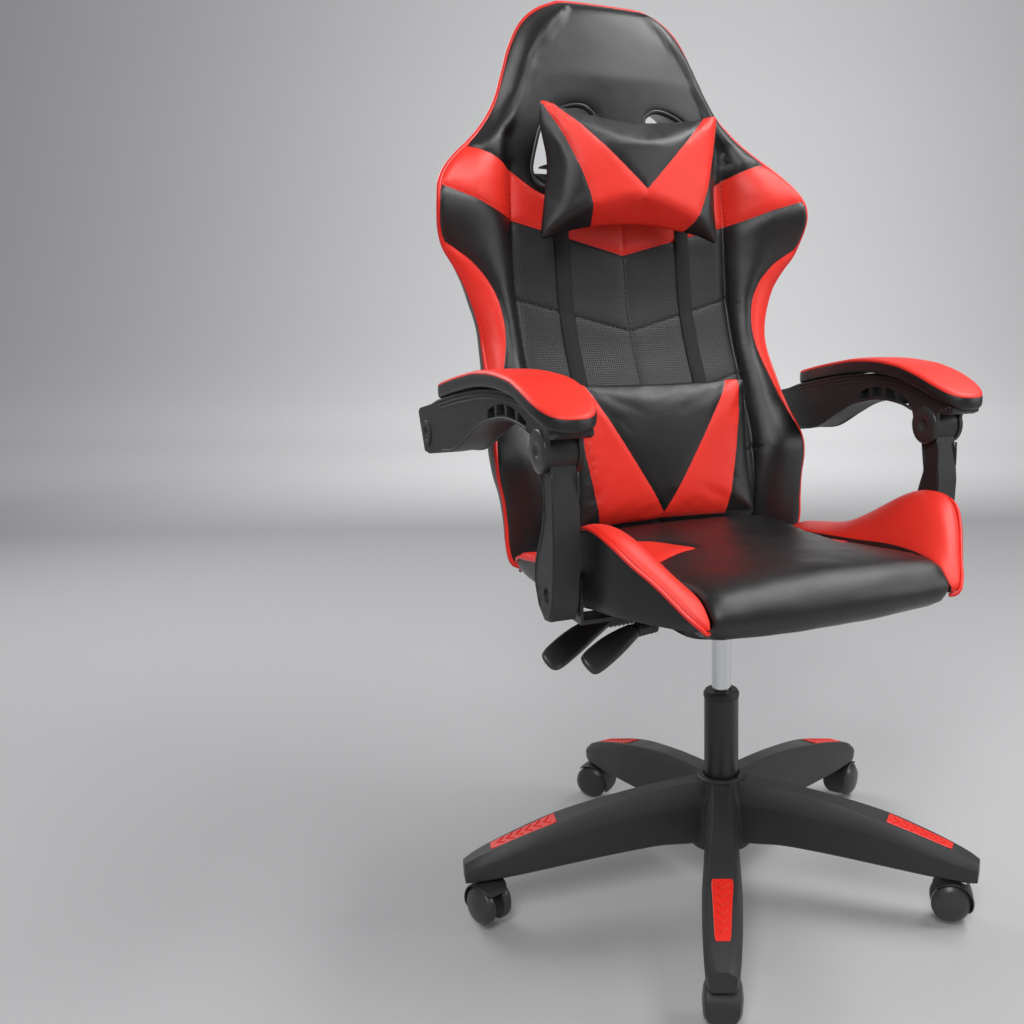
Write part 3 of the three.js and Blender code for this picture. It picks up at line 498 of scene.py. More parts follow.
BLACK = textured("black_leather", (0.0062, 0.0065, 0.007), 0.34, 900, 0.2, 0.05, 0.2, cells=True,
                 specular=0.62)
RED = textured("red_leather", (0.86, 0.030, 0.016), 0.42, 900, 0.16, 0.05, 0.1, cells=True, specular=0.45)
PERFORATED = perforated("black_perforated", (0.016, 0.0165, 0.018))
PIPING = textured("red_piping", (0.80, 0.020, 0.012), 0.36, 700, 0.1, 0.05, 0.08, specular=0.5)
STITCH = textured("black_thread", (0.004, 0.004, 0.0045), 0.9, 3000, 0.5, 0.05, 0.3, specular=0.15)
PLASTIC = textured("black_plastic", (0.023, 0.0235, 0.0245), 0.5, 1500, 0.3, 0.07, 0.2, specular=0.5)
SMOOTH_PLASTIC = textured("satin_plastic", (0.036, 0.0365, 0.038), 0.34, 1200, 0.12, 0.06, 0.2)
STEEL = textured("black_steel", (0.012, 0.012, 0.013), 0.34, 1100, 0.22, 0.06, 0.25, specular=0.6)
CHROME = textured("chrome", (0.66, 0.67, 0.68), 0.12, 300, 0.03, 0.03, 0.05, metallic=1, stretch=(1, 1, 0.05))
ZINC = textured("zinc_steel", (0.62, 0.63, 0.65), 0.24, 500, 0.1, 0.06, 0.1, metallic=1)
RED_PLASTIC = textured("red_plastic", (0.80, 0.022, 0.012), 0.38, 1500, 0.15, 0.06, 0.06)
WEBBING = textured("webbing", (0.008, 0.008, 0.009), 0.78, 1100, 0.8, 0.05, 0.4, stretch=(1, 1, 0.35))
# Painted shade: a near-black colour for the shade inside the screws' cross recesses, which are bare zinc.
RECESS_SHADE = textured("painted_recess_shade", (0.004, 0.004, 0.004), 0.8, 900, 0.2)
SOFT = [BLACK, RED, PERFORATED]
IS_BLACK, IS_RED, IS_PERFORATED = range(3)


# ---------------------------------------------------------------- backrest
def symmetric(half):
    """Closed outline from the +X half given from bottom to top as (z, half width)."""
    right = [(x, z) for z, x in half]
    return right + [(-x, z) for x, z in reversed(right)]


BACK_OUTLINE = smooth_line(symmetric(OUTLINE), 7, closed=True)
OPENINGS = [smooth_line([(side * x, z) for x, z in HARNESS], 5, closed=True) for side in SIDES]
TUNNEL_RISE = np.array([0, 22])
REAR_OPENINGS = [loop + TUNNEL_RISE for loop in OPENINGS]
V_SEAM = [(0, 915), (181, 963), (248, 990), (303, 1006)]
BAND_TOP = [(0, 985), (60, 990), (100, 996), (136, 1007), (158, 1021), (176, 1033), (207, 1051), (240, 1062),
            (262, 1062)]
CRESCENT = [(301, 932), (276, 917), (254, 901), (232, 876), (218, 848), (212, 815), (213, 785), (219, 758),
            (227, 733), (236, 708), (246, 680), (256, 655)]
BOLSTER_SEAM = [(176, 1036), (181, 963), (181, 830), (179, 700), (172, 575), (166, 455)]
FRONT_SEAM_X = 181


def bolster_seam(z):
    """x of the seam between the middle of the backrest and its side bolster."""
    return np.interp(z, [470, 560, 700, 1105, 1180, 1297], [167, 172, FRONT_SEAM_X, FRONT_SEAM_X, 150, 50])


def front_base(x, z):
    """Front face of the backrest without seams or edge rounding."""
    half, edge, front = back_row(z, 1), back_row(z, 2), back_row(z, 3)
    seam = np.minimum(bolster_seam(z), 0.8 * half)
    out = np.clip((np.abs(x) - seam) / np.maximum(half - seam, 1), 0, 1)
    lip = np.interp(z, [462, 500, 545, 610], [2, 4, 6, 8])
    wing = front + (edge - lip - front) * out**1.35
    swell = np.interp(z, [462, 500, 560, 620, 1020, 1120, 1297], [2, 4, 9, 17, 22, 10, 6])
    crown = np.interp(z, [470, 1040, 1110, 1180, 1297], [0, 2, 12, 20, 10]) * (1 - (x / half) ** 2)
    return wing - swell * 3.9 * out**0.85 * (1 - out) ** 1.5 * 1.35 * (out > 0) - crown


def mirrored(points, side):
    return np.array([(side * x, z) for x, z in points])


FRONT_SEAMS = {"deep": [], "stitched": []}


def front_seams():
    lower = [even(mirrored(V_SEAM, s), 6) for s in SIDES]
    upper = [smooth_line(mirrored(BAND_TOP, s), 6) for s in SIDES]
    crescents = [smooth_line(mirrored(CRESCENT, s), 6) for s in SIDES]
    sides = [smooth_line(mirrored(BOLSTER_SEAM, s), 6) for s in SIDES]
    centre = even(np.array([(0, 985), V_SEAM[0], (0, 455)]), 6)
    chevrons = [even(np.array([(-181, z + 49), (0, z), (181, z + 49)]), 6) for z in (798, 681, 564)]
    FRONT_SEAMS["deep"] = lower + upper + crescents + sides
    FRONT_SEAMS["stitched"] = [centre] + chevrons
    return FRONT_SEAMS["deep"] + FRONT_SEAMS["stitched"]


def front_y(x, z):
    """Finished front face at any point, with its seams."""
    x, z = np.atleast_1d(np.asarray(x, float)), np.atleast_1d(np.asarray(z, float))
    p = np.stack([x, z], 1)
    d_edge = near_loops(p, [BACK_OUTLINE])
    d_hole = near_loops(p, OPENINGS)
    d_deep = near(p, FRONT_SEAMS["deep"])
    d_fine = near(p, FRONT_SEAMS["stitched"])
    y = front_base(x, z)
    edge = back_row(z, 2)
    y += (edge - y - 1.0) * fillet(d_edge, 15)
    y += 5 * fillet(d_hole, 12)
    y += 3.0 * np.exp(-(d_deep / 4.0) ** 2) - 1.5 * (1 - np.exp(-d_deep / 30))
    y += 2.0 * np.exp(-(d_fine / 1.9) ** 2) + 0.5 * np.exp(-(d_fine / 9.0) ** 2)
    pucker = np.sin(p.sum(1) * 0.62) * np.exp(-np.minimum(d_deep, d_fine) / 6) * 0.35
    return y + pucker + 0.8 * ripples(p, 70) + 0.3 * ripples(p, 22, 5)


def is_between_bands(p):
    """Red shoulder band, between the V seam and the upper seam."""
    x = np.abs(p[:, 0])
    low = np.interp(x, *np.array(V_SEAM).T)
    band = smooth_line(BAND_TOP, 3)
    high = np.interp(x, band[:, 0], band[:, 1])
    return (p[:, 1] > low) & (p[:, 1] < high) & (x < 262) | (p[:, 1] > low) & (x >= 262) & (p[:, 1] < 1062)


def is_crescent(p):
    x, z = np.abs(p[:, 0]), p[:, 1]
    line = smooth_line(CRESCENT, 3)
    order = np.argsort(line[:, 1])
    edge = np.interp(z, line[order, 1], line[order, 0])
    return (x > edge) & (z < 932) & (z > 655)


def make_back_front():
    seams = front_seams()
    flat, faces, parts = panel_mesh(BACK_OUTLINE, OPENINGS,
                                    [clip_to(s, BACK_OUTLINE, OPENINGS) for s in seams], 8)
    y = front_y(flat[:, 0], flat[:, 1])
    middle = flat[faces].mean(1)
    kind = np.full(len(faces), IS_BLACK)
    centre = (np.abs(middle[:, 0]) < np.interp(middle[:, 1], [455, 575, 700, 1300], [166, 172, 179, 181]))
    low = np.interp(np.abs(middle[:, 0]), *np.array(V_SEAM[:2]).T)
    kind[centre & (middle[:, 1] < low)] = IS_PERFORATED
    kind[is_between_bands(middle) | is_crescent(middle)] = IS_RED
    kind = by_region(kind, parts)
    points = np.stack([flat[:, 0], y, flat[:, 1]], 1)
    obj = make("back_cover_front", points, oriented(points, faces, (0, -1, 0)), SOFT, "back", kind)
    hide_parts("back_cushion")
    return obj


def clip_to(line, outline, holes):
    """The run of a seam that lies on the panel, with the first point beyond each end."""
    ok = inside(line, outline)
    for h in holes:
        ok &= ~inside(line, h)
    index = np.nonzero(ok)[0]
    return line[max(index[0] - 1, 0):index[-1] + 2]


def oriented(points, faces, towards):
    """Faces turned so that most of them face the given way."""
    p = np.asarray(points)[np.asarray(faces)]
    normal = np.cross(p[:, 1] - p[:, 0], p[:, 2] - p[:, 0])
    return faces if (normal @ np.asarray(towards, float)).sum() > 0 else faces[:, ::-1]


REAR_PANEL = [(0, 1190), (40, 1187), (78, 1173), (106, 1148), (126, 1112), (143, 1072), (158, 1020),
              (174, 950), (190, 870), (204, 780), (215, 690), (222, 610), (226, 540), (226, 455)]
SHOULDER_SEAM = [(226, 1086), (200, 1079), (170, 1068), (146, 1060)]
REAR_SEAMS = {"deep": [], "fine": []}


def rear_seams():
    arch = smooth_line([(-x, z) for x, z in reversed(REAR_PANEL)] + REAR_PANEL[1:], 7)
    inner = smooth_line([(-x * 0.94, z - 9) for x, z in reversed(REAR_PANEL)]
                        + [(x * 0.94, z - 9) for x, z in REAR_PANEL[1:]], 7)
    shoulders = [smooth_line(mirrored(SHOULDER_SEAM, s), 7) for s in SIDES]
    hems = [even(np.array([(-w, z), (w, z)]), 7) for w, z in ((262, 496), (262, 478))]
    REAR_SEAMS["deep"] = [arch] + shoulders + hems
    REAR_SEAMS["fine"] = [inner]
    return REAR_SEAMS["deep"] + REAR_SEAMS["fine"]


def rear_y(x, z):
    x, z = np.atleast_1d(np.asarray(x, float)), np.atleast_1d(np.asarray(z, float))
    p = np.stack([x, z], 1)
    half, edge, rear = back_row(z, 1), back_row(z, 2), back_row(z, 4)
    d_edge = near_loops(p, [BACK_OUTLINE])
    d_hole = near_loops(p, REAR_OPENINGS)
    d_deep = near(p, REAR_SEAMS["deep"])
    d_fine = near(p, REAR_SEAMS["fine"])
    reach = np.minimum(np.maximum(0.26 * half, 24), 12 + 0.8 * (rear - edge))
    t = np.clip(1 - d_edge / reach, 0, 1)
    boxy = np.interp(z, [840, 930], [2.6, 1.4])
    rise = np.clip(1 - t**boxy, 0, 1) ** (1 / boxy)
    y = edge + 1.0 + (rear - edge - 1.0) * rise
    y -= 12 * fillet(d_hole, 18)
    y -= 3.6 * np.exp(-(d_deep / 4.5) ** 2) + 1.6 * np.exp(-(d_fine / 3.0) ** 2)
    return y + 0.9 * ripples(p, 80, 9) + 0.3 * ripples(p, 24, 3)


def make_back_rear():
    seams = [clip_to(s, BACK_OUTLINE, REAR_OPENINGS) for s in rear_seams()]
    flat, faces, _ = panel_mesh(BACK_OUTLINE, REAR_OPENINGS, seams, 9, rim=(0.25, 0.9, 2, 4, 7, 11, 16))
    points = np.stack([flat[:, 0], rear_y(flat[:, 0], flat[:, 1]), flat[:, 1]], 1)
    obj = make("back_cover_rear", points, oriented(points, faces, (0, 1, 0)), SOFT, "back")
    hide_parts("back_rear_shell")
    welt = np.array([(x, rear_y(x, z)[0] + 1.2, z) for x, z in REAR_SEAMS["deep"][0]])
    sweep("rear_panel_welt", welt, ring_section(2.6, 8), BLACK, "back", up=(0, 0, 1))


def piping(name, line, radius, body, closed=True):
    return sweep(name, line, ring_section(radius, 10), PIPING, body, closed=closed, up=(0.13, 0.97, 0.21))


def make_back_piping():
    line = [(x, back_row(z, 2), z) for x, z in BACK_OUTLINE]
    piping("back_piping", line, 3.6, "back")


def dashes(name, lines, height, body, length=4.2, gap=2.6, radius=0.55):
    """Sewing thread: short rounded stitches standing on a surface along the lines."""
    points, faces = [], []
    for line in lines:
        steps = even(line, (length + gap) / 4)
        for i in range(0, len(steps) - 2, 4):
            a, b = steps[i], steps[min(i + 2, len(steps) - 1)]
            a, b = (np.array(height(*p)) for p in (a, b))
            along = b - a
            along /= max(np.linalg.norm(along), 1e-6)
            across = np.cross(along, (0, 1, 0))
            across /= max(np.linalg.norm(across), 1e-6)
            lift = np.cross(across, along)
            base = len(points)
            for t, r in ((0, 0.4), (0.2, 1), (0.8, 1), (1, 0.4)):
                c = a + (b - a) * t
                for k in range(6):
                    ang = math.pi / 3 * k
                    points.append(c + r * radius * (math.cos(ang) * across + math.sin(ang) * lift))
            for s in range(3):
                for k in range(6):
                    n = (k + 1) % 6
                    faces.append((base + 6 * s + k, base + 6 * s + n, base + 6 * s + 6 + n,
                                  base + 6 * s + 6 + k))
            faces.append(tuple(base + k for k in range(6))[::-1])
            faces.append(tuple(base + 18 + k for k in range(6)))
    return make(name, points, faces, STITCH, body)


def make_back_stitches():
    on_front = lambda x, z: (x, front_y(x, z)[0] - 0.3, z)
    fine = FRONT_SEAMS["stitched"]
    dashes("back_stitches", fine[1:] + [fine[0][(fine[0][:, 1] < 912)]], on_front, "back")
    sides = FRONT_SEAMS["deep"][-2:]
    dashes("back_side_stitches", [np.stack([s[:, 0] + np.sign(s[:, 0]) * 3.0, s[:, 1]], 1) for s in sides],
           on_front, "back")


def make_bezels():
    for side, loop in zip(SIDES, OPENINGS):
        centre = loop.mean(0)
        front = lambda p: front_base(np.array([p[0]]), np.array([p[1]]))[0]
        rows = []
        for grow, depth, at in ((4, 9, 0), (1.5, 4, 0), (0, 1.5, 0), (-1.5, 2.5, 0), (-2.5, 7, 0),
                                (-3, 0, 1), (-1.5, 6.5, 1), (5, 9.5, 1), (12, 8, 1), (13.5, 3, 1)):
            ring = []
            for p in loop:
                out = (p - centre) / np.linalg.norm(p - centre)
                q = p + out * grow + at * TUNNEL_RISE
                y = front(q) if at == 0 else back_row(q[1], 4)
                ring.append((q[0], y + depth, q[1]))
            rows.append(ring)
        name = side_name(side)
        obj = make(f"bezel_{name}", np.concatenate(rows), grid_faces(len(rows), len(loop), cap=False),
                   SMOOTH_PLASTIC, "back")
        fix_normals(obj)
        mod = obj.modifiers.new("wall", "SOLIDIFY")
        mod.thickness = 2.2 * MM
        mod.offset = 1
        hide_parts(f"harness_bezel_{name}")


# ---------------------------------------------------------------- pillows
KEEP_OUTLINE = np.array([0.85, 0.0, 0.85])  # share of the flat pattern in x, y and z


def make_pillow(name, outline, vee, flanks, centre_seam, size, place, blow):
    """Two panels sewn round their edge, blown up as cloth, then settled to the real size."""
    seams = [clip_to(s, outline, []) for s in vee + flanks + [centre_seam]]
    width, height, depth = size
    centre, lean = place
    start, pressure, sink = blow
    flat, faces, parts = panel_mesh(outline, [], seams, 7, rim=(2.5,), beside=(3,))
    d = near_loops(flat, [outline])
    rim = d < 1e-3
    n = len(flat)
    inner = np.nonzero(~rim)[0]
    rear_index = np.arange(n)
    rear_index[inner] = n + np.arange(len(inner))
    puff = start * np.sqrt(np.clip(d / 22, 0, 1))
    points = np.concatenate([np.stack([flat[:, 0], -puff, flat[:, 1]], 1),
                             np.stack([flat[inner, 0], puff[inner], flat[inner, 1]], 1)])
    front_faces = oriented(points, faces, (0, -1, 0))
    rear_faces = rear_index[front_faces][:, ::-1]
    both = np.concatenate([front_faces, rear_faces])
    blown = blow_up(points, both, pressure, 0.62 * depth)
    points = points * KEEP_OUTLINE + blown * (1 - KEEP_OUTLINE)
    low, high = points.min(0), points.max(0)
    points = (points - (low + high) / 2) * np.array([width, depth, height]) / (high - low)
    groove = near(flat, seams)
    loose = (d > 1).astype(float)
    creases = 1.6 * ripples(flat, 26, 2) * np.exp(-d / 24)
    points[:n, 1] += loose * (1.9 * np.exp(-(groove / 3.6) ** 2) + creases + 1.0 * ripples(flat, 60, 4))
    points[n:, 1] *= sink
    c, s = math.cos(lean), math.sin(lean)
    world = np.stack([centre[0] + points[:, 0], centre[1] + points[:, 2] * s + points[:, 1] * c,
                      centre[2] + points[:, 2] * c - points[:, 1] * s], 1)
    x, z = flat[faces].mean(1).T
    low = np.where(x < vee[0][-1, 0], boundary(vee[0][:, ::-1], x), boundary(vee[1][:, ::-1], x))
    sewn = (x > boundary(flanks[0], z)) & (x < boundary(flanks[1], z))
    kind = by_region(np.where((z < low) & sewn, IS_RED, IS_BLACK), parts)
    kind = np.concatenate([kind, np.full(len(faces), IS_BLACK)])
    obj = make(name + "_cushion", world, both, SOFT, "back", kind)
    subdivide(obj, 1)
    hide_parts(name + "_pillow")
    return obj


def blow_up(points, faces, pressure, limit):
    """Cloth pressure from inside a closed cover; no point moves further than the limit."""
    mesh = bpy.data.meshes.new("blank_cover")
    mesh.from_pydata((points * MM).tolist(), [], faces.tolist())
    mesh.update()
    obj = bpy.data.objects.new("blank_cover", mesh)
    scene = bpy.context.scene
    scene.collection.objects.link(obj)
    mod = obj.modifiers.new("cloth", "CLOTH")
    s = mod.settings
    s.quality = 6
    s.mass = 0.25
    s.tension_stiffness = s.compression_stiffness = 18
    s.shear_stiffness = 6
    s.bending_stiffness = 0.6
    s.use_pressure = True
    s.uniform_pressure_force = pressure
    s.effector_weights.gravity = 0
    s.air_damping = 2
    mod.point_cache.frame_end = 24
    for frame_number in range(1, 23):
        scene.frame_set(frame_number)
    done = obj.evaluated_get(bpy.context.evaluated_depsgraph_get())
    co = np.empty(len(done.data.vertices) * 3, np.float32)
    done.data.vertices.foreach_get("co", co)
    scene.frame_set(1)
    bpy.data.objects.remove(obj)
    move = co.reshape(-1, 3).astype(float) / MM - points
    length = np.linalg.norm(move, axis=1)
    return points + move * np.minimum(1, limit / np.maximum(length, 1e-6))[:, None]


def rounded(points, step=7.5):
    return smooth_line(points, step, closed=True)


def boundary(line, v):
    """First coordinate of a seam at the given second coordinates."""
    order = np.argsort(line[:, 1])
    return np.interp(v, line[order, 1], line[order, 0])


def make_headrest():
    w, h = 144, 96
    outline = rounded([(-w - 13, -h), (-w - 5, -h - 5), (-90, -h + 9), (0, -h + 15), (90, -h + 6),
                       (w - 12, -h - 5), (w - 5, -h - 1), (w - 6, -40), (w - 5, 0), (w - 2, 45),
                       (w + 2, h - 2), (w - 4, h + 1), (w - 34, h - 6), (60, h - 12), (0, h - 15),
                       (-60, h - 11), (-w + 30, h - 3), (-w + 3, h + 3), (-w - 4, h - 2), (-w - 5, 60),
                       (-w + 1, 10), (-w - 5, -40)])
    tip = (2, -28)
    inner = [even(np.array([(s * 139, 108), (s * 62, 34), tip]), 6) for s in SIDES]
    outer = [smooth_line([(-152, 106), (-139, 84), (-114, 36), (-90, -26), (-78, -76), (-74, -112)], 6),
             smooth_line([(152, 104), (146, 84), (132, 34), (112, -28), (92, -70), (58, -112)], 6)]
    centre = even(np.array([tip, (-4, -108)]), 6)

    make_pillow("headrest", outline, inner, outer, centre, (302, 198, 84), ((-5, 273, 1032), 0.07),
                (9, 4, 0.72))


def make_lumbar():
    w, h = 147, 109
    outline = rounded([(-w, -h + 4), (-w + 5, -h), (-70, -h + 2), (0, -h + 3), (70, -h + 2), (w - 5, -h),
                       (w, -h + 4), (w - 2, -50), (w - 3, 0), (w - 2, 50), (w, h - 6), (w - 6, h),
                       (70, h - 1), (0, h - 2), (-70, h - 1), (-w + 6, h), (-w, h - 6), (-w + 2, 50),
                       (-w + 3, 0), (-w + 2, -50)])
    tip = (-14, -95)
    inner = [even(np.array([(s * 124 - 3, 118), tip]), 6) for s in SIDES]
    outer = [even(np.array([(s * 139 - 3, 118), (s * 134 - 4, 60), (s * 103 - 12, -118)]), 6) for s in SIDES]
    centre = even(np.array([tip, (-14, -118)]), 6)

    make_pillow("lumbar", outline, inner, outer, centre, (302, 214, 47), ((4, 187, 619), 0.17), (19, 5, 0.7))


# ---------------------------------------------------------------- straps
def make_straps():
    for side in SIDES:
        x = side * STRAP_X
        zs = np.linspace(700, 1008, 40)
        front = [(x, front_y(x, z)[0] - 1.6, z) for z in zs]
        y_front, y_rear = front_base(np.array([x]), np.array([1018.0]))[0], back_row(1018, 4)
        rise = TUNNEL_RISE[1]
        over = [(x, y_front + 6, OPENING_FLOOR), (x, (y_front + y_rear) / 2, OPENING_FLOOR + 1 + rise / 2),
                (x, y_rear - 6, OPENING_FLOOR + rise)]
        rear = [(x, rear_y(x, z)[0] + 2.0, z) for z in np.linspace(1006 + rise, 484, 60)]
        under = [(x, 208, STRAP_LOW), (x, 198, STRAP_LOW)]
        path = smooth_line(front + over + rear + under, 9)
        name = side_name(side)
        strap = sweep(f"lumbar_webbing_{name}", path, band_section(STRAP_WIDTH, STRAP_THICK), WEBBING, "back",
                      up=(0, -1, 0.001))
        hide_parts(f"lumbar_strap_{name}")
        buckle(f"strap_slider_{name}", (x, rear_y(x, SLIDER_Z)[0] + 5, SLIDER_Z), 32, 30)
    z = HEADREST_STRAP_Z
    rear = back_row(z, 4)
    half = [(90, 322, z), (91, 350, z), (91, rear - 6, z), (86, rear + 4.5, z), (60, rear + 5.5, z),
            (20, rear + 5, z)]
    path = smooth_line([(-x, y, h) for x, y, h in half] + [(x, y, h) for x, y, h in reversed(half)], 9)
    strap = sweep("headrest_webbing", path, band_section(STRAP_WIDTH, STRAP_THICK), WEBBING, "back",
                  up=(0, 0.001, 1))
    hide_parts("headrest_strap")
    buckle("headrest_buckle", (48, rear + 8, z), 44, 34)


def buckle(name, centre, width, height):
    """Three-bar slider: a rounded frame with a middle bar."""
    x, y, z = centre
    w, h = width / 2, height / 2
    loop = smooth_line([(x - w, y, z - h + 5), (x - w, y, z + h - 5), (x - w + 5, y, z + h),
                        (x + w - 5, y, z + h), (x + w, y, z + h - 5), (x + w, y, z - h + 5),
                        (x + w - 5, y, z - h), (x - w + 5, y, z - h)], 4, closed=True)
    sweep(name, loop, ring_section(2.2, 8), SMOOTH_PLASTIC, "back", closed=True)
    sweep(name + "_bar", [(x - w, y, z), (x, y, z), (x + w, y, z)], ring_section(2.0, 8), SMOOTH_PLASTIC,
                "back", up=(0, 0, 1))


# ---------------------------------------------------------------- seat
CUSHION = [(120, 464), (150, 470), (161, 482), (161, 500), (150, 511), (80, 511), (0, 509), (-100, 514),
           (-200, 523), (-240, 525), (-266, 521), (-284, 508), (-292, 492), (-285, 477), (-264, 466),
           (-225, 460)]
FLARES = {1: [(176, 118), (170, 60), (163, 0), (157, -45), (147, -84), (158, -87), (176, -92)],
          -1: [(-176, 112), (-140, 84), (-104, 61), (-80, 41), (-66, 16), (-54, -24), (-80, -36), (-104, -49),
               (-126, -64), (-150, -78), (-176, -88)]}


def make_seat_cushion():
    profile = smooth_line(CUSHION, 4)
    run = np.concatenate([[0], np.cumsum(np.linalg.norm(np.diff(profile, axis=0), axis=1))])
    total = run[-1]
    foremost = np.argmin(profile[:, 0])
    slope = np.gradient(profile, axis=0)
    slope /= np.linalg.norm(slope, axis=1)[:, None]
    normal = np.stack([-slope[:, 1], slope[:, 0]], 1)
    if normal[len(normal) // 3, 1] < 0:
        normal = -normal

    def at(v, k, source):
        return np.interp(v, run, source[:, k])

    top_run = lambda y: float(np.interp(-y, -profile[:foremost, 0], run[:foremost]))
    half = SEAT_SEAM_X
    outline = even(np.array([(-half, 0), (half, 0), (half, total), (-half, total), (-half, 0)]), 8,
                   closed=True)
    flares = [smooth_line([(x, top_run(y)) for x, y in FLARES[s]], 6) for s in SIDES]
    seams = [clip_to(f, outline, []) for f in flares]
    flat, faces, parts = panel_mesh(outline, [], seams, 9)
    x, v = flat[:, 0], flat[:, 1]
    d_side = half - np.abs(x)
    d_end = np.minimum(v, total - v)
    d_seam = near(flat, seams)
    up = (5 + 6 * np.interp(v / total, [0, 0.3, 0.6, 0.8, 1], [0, 0.6, 1, 0.5, 0])) * (1 - (x / half) ** 2)
    up -= 10 * fillet(d_side, 17) + 3 * fillet(d_end, 10)
    up -= 2.6 * np.exp(-(d_seam / 4.5) ** 2)
    wave = 1.3 * ripples(flat, 75, 1) + 0.5 * ripples(flat, 28, 6)
    gather = np.sin(v * 0.33 + 2.0 * np.sin(v * 0.11)) * np.exp(-d_side / 14) * 1.0
    up += wave + gather
    y = at(v, 0, profile) + up * at(v, 0, normal)
    z = at(v, 1, profile) + up * at(v, 1, normal)
    narrow = 1 - 0.03 * np.clip((500 - z) / 40, 0, 1) * (y < -200)
    points = np.stack([x * narrow, y, z], 1)
    middle = flat[faces].mean(1)
    red = np.zeros(len(faces), bool)
    for f in flares:
        loop = np.concatenate([f, [(f[-1][0], f[-1][1])]])
        red |= inside(middle, loop)
    faces = oriented(points, faces, (0, 0, 1))
    kind = by_region(np.where(red, IS_RED, IS_BLACK), parts)
    obj = make("seat_cover", points, faces, SOFT, "seat", kind)
    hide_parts("seat_cushion")


# Side wings: y, inner x, outer x, top z, crease z, bottom z.
WING = [(-287, 172, 186, 496, 490, 484), (-276, 171, 197, 508, 503, 482), (-262, 171, 207, 522, 515, 482),
        (-243, 171, 222, 542, 519, 483), (-222, 171, 238, 560, 520, 485), (-200, 171, 251, 578, 520, 486),
        (-176, 171, 257, 588, 519, 485), (-150, 171, 258, 591, 518, 483), (-122, 171, 258, 588, 515, 479),
        (-90, 171, 258, 573, 512, 474), (-50, 171, 257, 550, 510, 470), (-10, 171, 255, 529, 508, 467),
        (30, 171, 253, 515, 505, 465), (70, 172, 251, 508, 502, 464), (110, 176, 249, 502, 498, 463),
        (140, 205, 247, 498, 492, 464), (160, 222, 245, 492, 487, 466), (172, 226, 241, 484, 480, 470)]


def make_wing(side):
    name = side_name(side)
    rings = []
    for y, inner, outer, top, crease, bottom in WING:
        w, h = outer - inner, top - crease
        ring = [(inner, bottom + 2), (inner + 4, bottom), (outer - 10, bottom), (outer - 3, bottom + 3),
                (outer, bottom + 10), (outer + 0.5, bottom + 0.45 * (top - bottom)), (outer, top - 12),
                (outer - 1, top - 4), (outer - 5, top - 0.3), (outer - 0.24 * w, top - 0.02 * h),
                (outer - 0.42 * w, top - 0.10 * h), (inner + 0.36 * w, crease + 0.62 * h),
                (inner + 0.16 * w, crease + 0.28 * h), (inner + 0.04 * w, crease + 0.05 * h),
                (inner, crease - 8)]
        rings.append([(side * x, y, z) for x, z in ring])
    mats = [IS_BLACK] * 7 + [IS_RED] * 6 + [IS_BLACK] * 2
    obj = loft(f"seat_wing_{name}", rings, SOFT, "seat", mats, IS_RED, levels=2)
    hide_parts(f"seat_bolster_{name}")
    line = smooth_line([(side * (o + 0.5), y - 0.5, t - 6.5) for y, _, o, t, _, _ in WING], 7)
    start = smooth_line([(side * 173, -281, 481), (side * 180, -287, 483), tuple(line[0])], 4)
    piping(f"seat_piping_{name}", np.concatenate([start[:-1], line]), 2.6, "seat", closed=False)
    return obj


# ---------------------------------------------------------------- armrests
PAD = [(-185, 722, 0), (-183, 722, 12), (-177, 723.5, 22), (-164, 728.5, 32), (-140, 738, 38.5),
       (-104, 750, 40.5), (-60, 758.5, 39), (0, 761.5, 35.5), (60, 759, 32), (120, 751.5, 29), (180, 742, 26),
       (226, 733.5, 23.5), (246, 730, 18), (254, 728, 9), (256, 727.5, 0)]


def toe(y):
    return TOE * max(0, y - TOE_START)


def pad_top(y):
    rows = np.array(PAD)
    return pchip(rows[:, 0], rows[:, 1], y)


def make_arm_pad(side):
    name = side_name(side)
    body = f"arm_{name}"
    rows = np.array(PAD)
    half = smooth_line([(w, y) for y, _, w in PAD], 7)
    edge = np.concatenate([half, half[-2:0:-1] * (-1, 1)])
    spine = np.stack([np.zeros(len(edge)), np.clip(edge[:, 1], rows[0, 0] + 34, rows[-1, 0] - 22)], 1)
    levels = [(0, -21), (0.6, -21), (0.9, -20.5), (0.965, -19), (1, -16.5), (1.012, -11), (1, -5.6),
              (0.985, -4.6), (0.99, -4.2), (0.985, -2.6), (0.955, -0.9), (0.88, 0.4), (0.7, 1.2), (0.4, 1.7),
              (0, 1.9)]
    rings = []
    for scale, lift in levels:
        ring = spine + scale * (edge - spine)
        rings.append([(side * (ARM_X + 2 + toe(y)) + x, y, pad_top(y) + lift) for x, y in ring])
    seam = [scale for scale, _ in levels].index(0.985)
    points, cols = np.concatenate(rings), len(edge)
    faces = grid_faces(len(rings), cols, cap=False)
    kind = [IS_BLACK if row <= seam else IS_RED for row in range(len(rings) - 1) for _ in range(cols)]
    pad = make(f"armrest_pad_{name}", points, faces, SOFT, body, kind)
    fix_normals(pad)
    subdivide(pad, 1)
    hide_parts(f"arm_pad_{name}")


def make_arm_ribs(side):
    name = side_name(side)
    body = f"arm_{name}"
    for k, drop in enumerate((24.5, 30, 35.5)):
        for face in (-1, 1):
            ys = np.linspace(-168 + 8 * k, 242 - 6 * k, 60)
            line = [(side * (ARM_X + toe(y)) + face * (23.0 - 0.4 * k), y, pad_top(y) - drop) for y in ys]
            sweep(f"arm_rib_{name}_{k}_{'io'[face > 0]}", line, ring_section(1.7, 8), PLASTIC, body,
                  up=(0, 0, 1))


